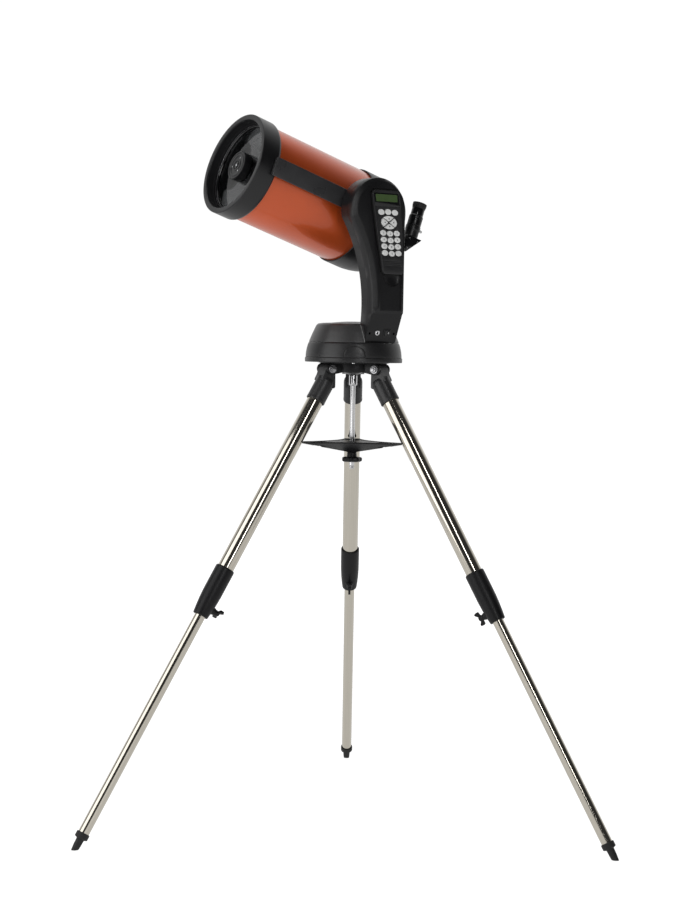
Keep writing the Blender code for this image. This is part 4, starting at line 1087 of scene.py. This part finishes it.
def hand_control():
    body = wall(control_outline(steps=12), CONTROL_BACK, CONTROL_FACE)
    well = block(
        (-0.0338, CONTROL_FACE - 0.003, LCD_LOW - 0.0003), (0.0338, BEYOND, LCD_HIGH + 0.0003))
    columns = (-KEY_PITCH_X, 0.0, KEY_PITCH_X)
    cuts = [well]
    for x in columns:
        for height in (menu_height(x), *[row_height(x, row) for row in range(4)]):
            cuts.append(wall(oval(*WELL_HALF, 32, (x, height)), WELL_FLOOR, BEYOND))
    cuts.append(wall(oval(0.0222, 0.0159, 64, (0.0, PAD_Z)), WELL_FLOOR, BEYOND))
    for k in range(4):
        z = -0.0668 - 0.0036 * k
        cuts.append(
            block((-0.0235, CONTROL_FACE - 0.0006, z - 0.0006), (0.0235, BEYOND, z + 0.0006)))
    piece(
        "hand_control_shell", body, CONTROL, BLACK_CONTROL, "hand_control", ("hand_control_body",),
        cuts=cuts, bevel=0.0011, segments=3, limit=40)
    glass_pane = slab([
        (-0.0335, LCD_LOW), (0.0335, LCD_LOW), (0.0335, LCD_HIGH), (-0.0335, LCD_HIGH)],
        -(CONTROL_FACE - 0.0006), -(CONTROL_FACE - 0.0027))
    piece(
        "display_bezel", moved(glass_pane, UPRIGHT), CONTROL, BLACK_GLOSS, "hand_control",
        ("lcd_window",), bevel=0.0003)
    screen = slab([
        (-0.0295, LCD_HIGH - 0.019), (0.0295, LCD_HIGH - 0.019), (0.0295, LCD_HIGH - 0.003),
        (-0.0295, LCD_HIGH - 0.003)], -(CONTROL_FACE - 0.0004), -(CONTROL_FACE - 0.001))
    piece("display_screen", moved(screen, UPRIGHT), CONTROL, LCD, "hand_control")
    for i, x in enumerate(columns):
        name = "menu_key_%d" % (i + 1)
        cap = moved(key(oval(0.0082, 0.0064)), at(x, 0.0, menu_height(x)))
        piece(name + "_cap", cap, CONTROL, KEYS, name, (name,))
    names = ("direction_key_left", "direction_key_up", "direction_key_right", "direction_key_down")
    for quarter, name in enumerate(names):
        cap = moved(key(pad_quarter(quarter), 0.0005), at(0.0, 0.0, PAD_Z))
        piece(name + "_cap", cap, CONTROL, KEYS, name, (name,))
        middle = math.radians(quarter * 90)
        spot = (0.0118 * math.cos(middle), PAD_Z + 0.0082 * math.sin(middle))
        face = CONTROL_FACE + 0.0015
        piece(
            name + "_mark", wall(oval(0.0017, 0.0014, 20, spot), face, face + 0.00015), CONTROL,
            PRINT, name)
    keys = []
    signs = []
    for row in range(4):
        for column, x in enumerate(columns):
            z = row_height(x, row)
            keys.append(moved(key(oval(0.0081, 0.0063)), at(x, 0.0, z)))
            text = "0" if (row, column) == (0, 1) else ""
            if row > 0:
                text = str((3 - row) * 3 + (3 - column))
            if text:
                signs.append(digit(text, x, z, 0.0058))
    mat = block(
        (-0.0279, WELL_FLOOR + 0.0003, KEYPAD_Z - 0.0299),
        (0.0279, CONTROL_FACE - 0.004, KEYPAD_Z + 0.0299))
    piece("number_keys", merged(mat, *keys), CONTROL, KEYS, "hand_control", ("number_keypad",))
    piece("number_signs", merged(*signs), CONTROL, PRINT, "hand_control")


# ---------------------------------------------------------------- optical tube

def front_end():
    seat = CORRECTOR_X - 0.0027
    cell = [
        (0.1075, RIM_X), (FRONT_R - 0.0008, RIM_X), (FRONT_R, RIM_X - 0.001),
        (FRONT_R, FRONT_REAR_X + 0.007), (0.118, FRONT_REAR_X + 0.003), (0.115, FRONT_REAR_X),
        (OTA_R + 0.0003, FRONT_REAR_X), (OTA_R + 0.0003, seat - 0.006), (0.1, seat - 0.006),
        (0.1, seat), (0.1045, seat), (0.1045, RIM_X - 0.02), (0.106, RIM_X - 0.018),
        (0.1066, RIM_X - 0.003)]
    on_tube("front_cell_casting", cell, BLACK_METAL, ("front_cell",), 0.0014, 192)
    lining = [
        (0.1043, CORRECTOR_X + 0.0068), (0.1043, RIM_X - 0.0199), (0.1058, RIM_X - 0.0179),
        (0.1063, RIM_X - 0.004), (0.1058, RIM_X - 0.004), (0.1053, RIM_X - 0.0181),
        (0.1038, RIM_X - 0.0201), (0.1038, CORRECTOR_X + 0.0068)]
    on_tube("cell_lining", lining, BAFFLE, round_by=0.0002, segments=160)
    edge = arc((0.1029, CORRECTOR_X + 0.0071), 0.0005, 0, 315, 7)
    on_tube("retaining_edge", edge, DARK_STEEL, round_by=0.0, segments=160)
    ring = raised(
        CORRECTOR_X, [(0.0985, 0.0026), (0.1042, 0.0026), (0.1042, 0.0066), (0.0998, 0.0066),
        (0.0985, 0.004)])
    on_tube("retaining_ring", ring, BLACK_GLOSS, round_by=0.0017, segments=160)
    screw_ring(
        "retaining_screws", (0.0021, 0.0012), (0.1016, CORRECTOR_X + 0.006), range(15, 375, 60),
        OPTIC, "telescope")
    lens = raised(
        CORRECTOR_X, [(0.0302, -0.0024), (0.1035, -0.0024), (0.1035, 0.0024), (0.0302, 0.0024)])
    on_tube("corrector_glass", lens, GLASS, ("corrector_plate",), 0.0003, 128)

    front = CORRECTOR_X + 0.0027
    back = CORRECTOR_X - 0.0027
    face = RIM_X - 0.0085
    holder = raised(
        face, [(0.0, -0.003), (0.01, -0.003), (0.0105, -0.0008), (0.0135, -0.0004),
        (0.014, -0.0018), (0.0225, -0.0018), (0.023, -0.0004), (0.027, -0.0004), (0.0275, -0.0016),
        (0.0295, -0.0016), (0.03, -0.0002), (0.0328, -0.0004), (0.0335, -0.0014)])
    holder += [
        (0.0335, front), (0.0299, front), (0.0299, back), (0.0335, back), (0.03, back - 0.035),
        (0.028, back - 0.035), (0.028, back - 0.015), (0.0, back - 0.015)]
    on_tube("secondary_holder", holder, BLACK_METAL, ("secondary_housing",), 0.0004)
    cap = raised(
        face, [(0.0, 0.0002), (0.005, -0.0001), (0.0085, -0.0012), (0.0098, -0.0029),
        (0.0, -0.0029)])
    on_tube("secondary_cap", cap, BLACK_GLOSS, segments=64)
    button = raised(face, [(0.0, 0.0006), (0.0022, 0.0004), (0.003, -0.0001), (0.0, -0.0001)])
    on_tube("secondary_cap_button", button, ALLOY, round_by=0.0002, segments=32)
    screw_ring(
        "collimation_screws", (0.0019, 0.0012), (0.018, face - 0.0018), (40, 160, 280), OPTIC,
        "telescope")
    mirror = raised(back - 0.0153, [(0.0, 0.0), (0.024, 0.0), (0.024, -0.006), (0.0, -0.006)])
    on_tube("secondary_glass", mirror, MIRROR, ("secondary_mirror",), 0.0004, 64)


def tube():
    front = CORRECTOR_X - 0.009
    rear = REAR_FRONT_X - 0.018
    skin = [(OTA_R, front), (OTA_R, rear), (0.1113, rear), (0.1113, front)]
    on_tube("tube_skin", skin, ORANGE, ("optical_tube",), 0.0002, 192)
    lining = [
        (0.11125, front - 0.001), (0.11125, rear + 0.001), (0.1107, rear + 0.001),
        (0.1107, front - 0.001)]
    on_tube("tube_lining", lining, INNER, round_by=0.0)


def rear_end():
    sleeve = REAR_FRONT_X - 0.0183
    cell = [
        (OTA_R + 0.0003, REAR_FRONT_X), (REAR_R - 0.0006, REAR_FRONT_X),
        (REAR_R, REAR_FRONT_X - 0.0012), (REAR_R, REAR_FRONT_X - 0.045)]
    cell += [
        (REAR_R - drop, REAR_END_X + height) for drop, height in ((0.0008, 0.055), (0.0025, 0.043),
        (0.0056, 0.029), (0.01, 0.0155), (0.015, 0.006), (0.022, 0.0006))]
    cell += raised(
        REAR_END_X, [(0.08, 0.0), (0.078, 0.0012), (0.074, 0.0012), (0.072, 0.0), (0.038, 0.0),
        (0.034, -0.006), (0.025, -0.006), (0.025, -0.016), (0.019, -0.016), (0.019, 0.004),
        (0.086, 0.004), (0.102, 0.019), (0.108, 0.044)])
    cell += [(0.108, sleeve), (OTA_R + 0.0003, sleeve)]
    hole = moved(round_bar(0.0036, REAR_END_X - 0.02, REAR_END_X + 0.02), at(0.062))
    on_tube("rear_cell_casting", cell, BLACK_METAL, ("rear_cell",), 0.0016, 192, cuts=(hole,))
    screw_ring(
        "rear_cell_screws", (0.0042, 0.003), (0.056, REAR_END_X), (60, 180, 300), OPTIC,
        "telescope", down=True)
    baffle = [(0.0175, 0.06), (0.0185, 0.06)]
    baffle += raised(
        REAR_END_X, [(0.021, 0.04), (0.023, 0.0095), (0.023, 0.0045), (0.0195, 0.0045),
        (0.0175, 0.04)])
    on_tube("baffle_tube", baffle, BAFFLE, ("primary_baffle",), 0.0003, 64)
    dish = [(0.0255, 0.028), (0.1015, 0.032), (0.1015, 0.052)]
    for k in range(8):
        radius = 0.101 - (0.101 - 0.0255) * k / 7
        dish.append((radius, 0.046 + 0.0058 * (radius / 0.1015) ** 2))
    on_tube(
        "primary_mirror_glass", raised(REAR_END_X, dish), MIRROR, ("primary_mirror",), 0.0, 128,
        body="mirror")
    thread = REAR_END_X - 0.0063
    union = raised(
        thread, [(0.0253, 0.0), (0.0296, 0.0), (0.03, -0.0012), (0.03, -0.015), (0.029, -0.0165),
        (0.0215, -0.0205), (0.0215, -0.0435), (0.0205, -0.044), (0.0161, -0.044),
        (0.0161, -0.0115), (0.0253, -0.0115)])
    on_tube(
        "visual_back_ring", union, BLACK_METAL, ("visual_back",), 0.0005, 144,
        ribs(48, 0.0005, 0.0293))
    thumbs = []
    for angle in (60, 180):
        screw = turned([
            (0.0, 0.019), (0.0016, 0.019), (0.0016, 0.0222), (0.0042, 0.0228), (0.0042, 0.03),
            (0.0036, 0.0306), (0.0, 0.0306)], 0.0004, 36, 2, ribs(18, 0.0003, 0.0038))
        thumbs.append(moved(screw, turn("Y", 90), at(z=thread - 0.035), turn("Z", angle)))
    piece("visual_back_screws", merged(*thumbs), OPTIC, CHROME, "telescope")
    knob = [
        (0.0, 0.02), (0.003, 0.02), (0.003, -0.0035), (0.0105, -0.004), (0.0125, -0.006),
        (0.012, -0.0225), (0.0105, -0.0248), (0.0, -0.025)]
    turned_piece(
        "focus_knob_rubber", knob, TUBE @ at(REAR_END_X, 0.0, -0.062) @ turn("Y", 90), RUBBER,
        "focus_knob", ("focus_knob",), 0.0008, 96, ribs(24, 0.0006, 0.0115))


def viewing_end():
    half = 0.019
    behind = TUBE @ at(DIAGONAL_X)
    outline = [
        (-half - 0.003, half), (half, half), (half, -half - 0.003), (half - 0.006, -half - 0.003)]
    prism = wall([(DIAGONAL_X + x, z) for x, z in outline], -half, half)
    barrel = moved(
        round_bar(0.0158, DIAGONAL_X + half - 0.004, REAR_END_X - 0.021, 64), turn("Y", 90))
    holder = turned([
        (0.0162, half - 0.003), (0.0181, half - 0.003), (0.0181, 0.02), (0.0172, 0.0215),
        (0.0172, 0.036), (0.0181, 0.0375), (0.0181, 0.0478), (0.0174, 0.048), (0.0162, 0.048)],
        0.0005, 96)
    bore = moved(round_bar(0.0162, 0.008, half + 0.001, 48), at(DIAGONAL_X))
    piece(
        "diagonal_housing", prism, TUBE, BLACK_GLOSS, "diagonal", ("star_diagonal",), bevel=0.0016,
        segments=3, cuts=(bore,))
    piece(
        "diagonal_barrels", merged(moved(holder, at(DIAGONAL_X)), barrel), TUBE, BLACK_METAL,
        "diagonal")
    screws = []
    for side, x, z in (
            (-1, -0.012, 0.012), (-1, 0.012, -0.012), (1, -0.012, 0.012), (1, 0.012, -0.012),
            (-1, 0.013, 0.013), (1, 0.013, 0.013)):
        screws.append(
            moved(socket_screw(0.0016, 0.0007), turn("X", 90 * -side),
            at(DIAGONAL_X + x, side * 0.0189, z)))
    piece("diagonal_screws", merged(*screws), TUBE, CHROME, "diagonal")
    thumb = turned([
        (0.0, 0.0165), (0.0015, 0.0165), (0.0015, 0.0192), (0.0036, 0.0196), (0.0036, 0.0262),
        (0.003, 0.0268), (0.0, 0.0268)], 0.0004, 36, 2, ribs(16, 0.0003, 0.0032))
    piece("eyepiece_screw", moved(thumb, turn("Y", -90), at(z=0.0425)), behind, CHROME, "diagonal")
    barrel = [
        (0.0, 0.022), (0.0135, 0.022), (0.0158, 0.0225), (0.0158, 0.0484), (0.0166, 0.049),
        (0.017, 0.05), (0.017, 0.072), (0.0166, 0.0735), (0.0155, 0.075), (0.0155, 0.093),
        (0.0, 0.093)]
    piece(
        "eyepiece_barrel", turned(barrel, 0.0005, 144, 2,
        ribs(36, 0.0004, 0.0165, 0.0505, 0.0715)), behind, BLACK_GLOSS, "eyepiece", ("eyepiece",))
    cup = [
        (0.0152, 0.0915), (0.0158, 0.0925), (0.0164, 0.096), (0.0172, 0.1), (0.0172, 0.1054),
        (0.0168, 0.106), (0.0146, 0.1058), (0.0126, 0.1005), (0.012, 0.0932), (0.011, 0.0915)]
    turned_piece("eyepiece_cup", cup, behind, RUBBER, "eyepiece", round_by=0.0005, segments=72)
    eye = [(0.0, 0.0931), (0.0112, 0.0931), (0.0108, 0.0942), (0.007, 0.0955), (0.0, 0.0962)]
    turned_piece("eye_lens", eye, behind, BLACK_GLOSS, "eyepiece", round_by=0.0004, segments=48)


def dovetail():
    back = OTA_R + 0.0079
    front = OTA_R + 0.017
    outline = [
        (-0.018, back), (0.018, back), (0.022, front - 0.0012), (0.0212, front), (-0.0212, front),
        (-0.022, front - 0.0012)]
    low = REAR_FRONT_X - 0.03
    high = FRONT_REAR_X + 0.015
    piece(
        "dovetail_bar_rail", slab(outline, low, high), OPTIC, BAR_METAL, "telescope",
        ("dovetail_bar",), bevel=0.0012)
    pads = []
    for x0, x1, inner in (
            (FRONT_REAR_X + 0.002, high - 0.0012, FRONT_R - 0.0002),
            (low + 0.002, REAR_FRONT_X - 0.003, REAR_R - 0.0004)):
        pads.append(slab([
            (-0.015, inner), (0.015, inner), (0.0165, back + 0.0004), (-0.0165, back + 0.0004)],
            x0, x1))
    piece("dovetail_bar_feet", merged(*pads), OPTIC, BLACK_METAL, "telescope", bevel=0.0003)
    y_in = OTA_R + 0.0173
    y_out = ARM_IN - TUBE_SIDE - 0.0012
    disc = moved(turned([
        (0.0, -y_out), (0.048, -y_out), (0.048, -y_in - 0.0005), (0.0, -y_in - 0.0005)], 0.001, 96,
        3), turn("X", 90))
    jaws = []
    base_y = OTA_R + 0.0114
    for side in (-1, 1):
        jaw = [
            (side * 0.0238, y_in + 0.002), (side * 0.0202, base_y), (side * 0.032, base_y),
            (side * 0.032, y_in + 0.002)][::side]
        jaws.append(moved(slab(jaw, -0.034, 0.034), turn("Y", 90)))
    piece("saddle", disc, TUBE, ALLOY, "telescope", ("dovetail_clamp",))
    piece("saddle_jaws", merged(*jaws), TUBE, BLACK_METAL, "telescope", bevel=0.0006)


# ---------------------------------------------------------------- inner pieces and stage

def inner_pieces():
    for name, look in (
            ("azimuth_gear", BRASS), ("altitude_gear", BRASS), ("azimuth_worm", DARK_STEEL),
            ("altitude_worm", DARK_STEEL)):
        node = frame["nodes"][name]
        node.data.materials.clear()
        node.data.materials.append(look)


def stage():
    """A plain white sweep: it glows a little, so that it stays white out to the horizon."""
    shape = lathe([(0.0, -0.02), (14.0, -0.02), (14.0, -0.0002), (0.0, -0.0002)], 96)
    item = to_object("floor", shape)
    floor = Surface("pale_floor", (0.22, 0.22, 0.22), 0.5, specular=0.2)
    floor.blotches(0.01, 0.02, 2.0)
    tree = floor.tree
    far = tree.nodes.new("ShaderNodeVectorMath")
    far.operation = "LENGTH"
    floor.link(floor.coords, far, "Vector")
    glow = floor.ranged(far.outputs["Value"], 0.93, 1.05, 0.9, 2.2)
    rays = tree.nodes.new("ShaderNodeLightPath")
    pick = tree.nodes.new("ShaderNodeMix")
    pick.data_type = "FLOAT"
    pick.inputs["A"].default_value = 0.55
    floor.link(rays.outputs["Is Camera Ray"], pick, "Factor")
    floor.link(glow, pick, "B")
    floor.set("Emission Color", (1.0, 1.0, 1.0, 1.0))
    floor.link(pick.outputs["Result"], floor.shader, "Emission Strength")
    item.data.materials.append(floor.material)


def area_light(name, place, target, size, power):
    data = bpy.data.lights.new(name, "AREA")
    data.shape = "RECTANGLE"
    data.size, data.size_y = size
    data.energy = power
    item = bpy.data.objects.new(name, data)
    item.location = place
    item.rotation_mode = "QUATERNION"
    item.rotation_quaternion = (Vector(target) - Vector(place)).to_track_quat("-Z", "Y")
    bpy.context.scene.collection.objects.link(item)


def lights():
    area_light("key", (-1.95, -1.45, 1.62), (0.0, -0.17, 1.2), (2.0, 2.7), 29)
    area_light("strip", (1.05, -3.9, 2.3), (0.0, -0.17, 1.0), (0.36, 3.2), 30)
    area_light("top", (0.0, 0.2, 4.2), (0.0, 0.0, 0.5), (2.2, 2.2), 22)


def world():
    """White behind the object and darker towards the front, as in a studio."""
    data = bpy.data.worlds.new("studio")
    bpy.context.scene.world = data
    data.use_nodes = True
    tree = data.node_tree
    shade = tree.nodes["Background"]
    coords = tree.nodes.new("ShaderNodeTexCoord")
    split = tree.nodes.new("ShaderNodeSeparateXYZ")
    tree.links.new(coords.outputs["Generated"], split.inputs["Vector"])
    ramp = tree.nodes.new("ShaderNodeMapRange")
    ramp.interpolation_type = "SMOOTHSTEP"
    for socket, number in (
            ("From Min", -0.1), ("From Max", 0.75), ("To Min", 0.035), ("To Max", 0.85)):
        ramp.inputs[socket].default_value = number
    tree.links.new(split.outputs["Y"], ramp.inputs["Value"])
    rays = tree.nodes.new("ShaderNodeLightPath")
    pick = tree.nodes.new("ShaderNodeMix")
    pick.data_type = "FLOAT"
    pick.inputs["B"].default_value = 1.02
    tree.links.new(rays.outputs["Is Camera Ray"], pick.inputs["Factor"])
    tree.links.new(ramp.outputs["Result"], pick.inputs["A"])
    shade.inputs["Color"].default_value = (1.0, 1.0, 1.0, 1.0)
    tree.links.new(pick.outputs["Result"], shade.inputs["Strength"])


def camera():
    data = bpy.data.cameras.new("camera")
    data.sensor_width = 36.0
    data.lens = 78.26
    down, aside, roll = math.radians(3.41), math.radians(-0.411), math.radians(0.99)
    item = bpy.data.objects.new("camera", data)
    item.location = (-0.00102, -4.65945 + AXIS_Y, 1.1245)
    forward = Vector(
        (math.sin(aside) * math.cos(down), math.cos(aside) * math.cos(down), -math.sin(down)))
    look = forward.to_track_quat("-Z", "Y").to_matrix()
    item.rotation_euler = (look @ Matrix.Rotation(roll, 3, "Z")).to_euler()
    bpy.context.scene.collection.objects.link(item)
    bpy.context.scene.camera = item


def main():
    tripod_head()
    tray()
    tray_knob()
    for i in range(3):
        leg(i)
    for build in (
            base, dome, arm, arm_fittings, hand_control, front_end, tube, rear_end, viewing_end,
            dovetail, inner_pieces, stage, lights, world, camera):
        build()
    bpy.context.scene.view_settings.view_transform = "Standard"


main()
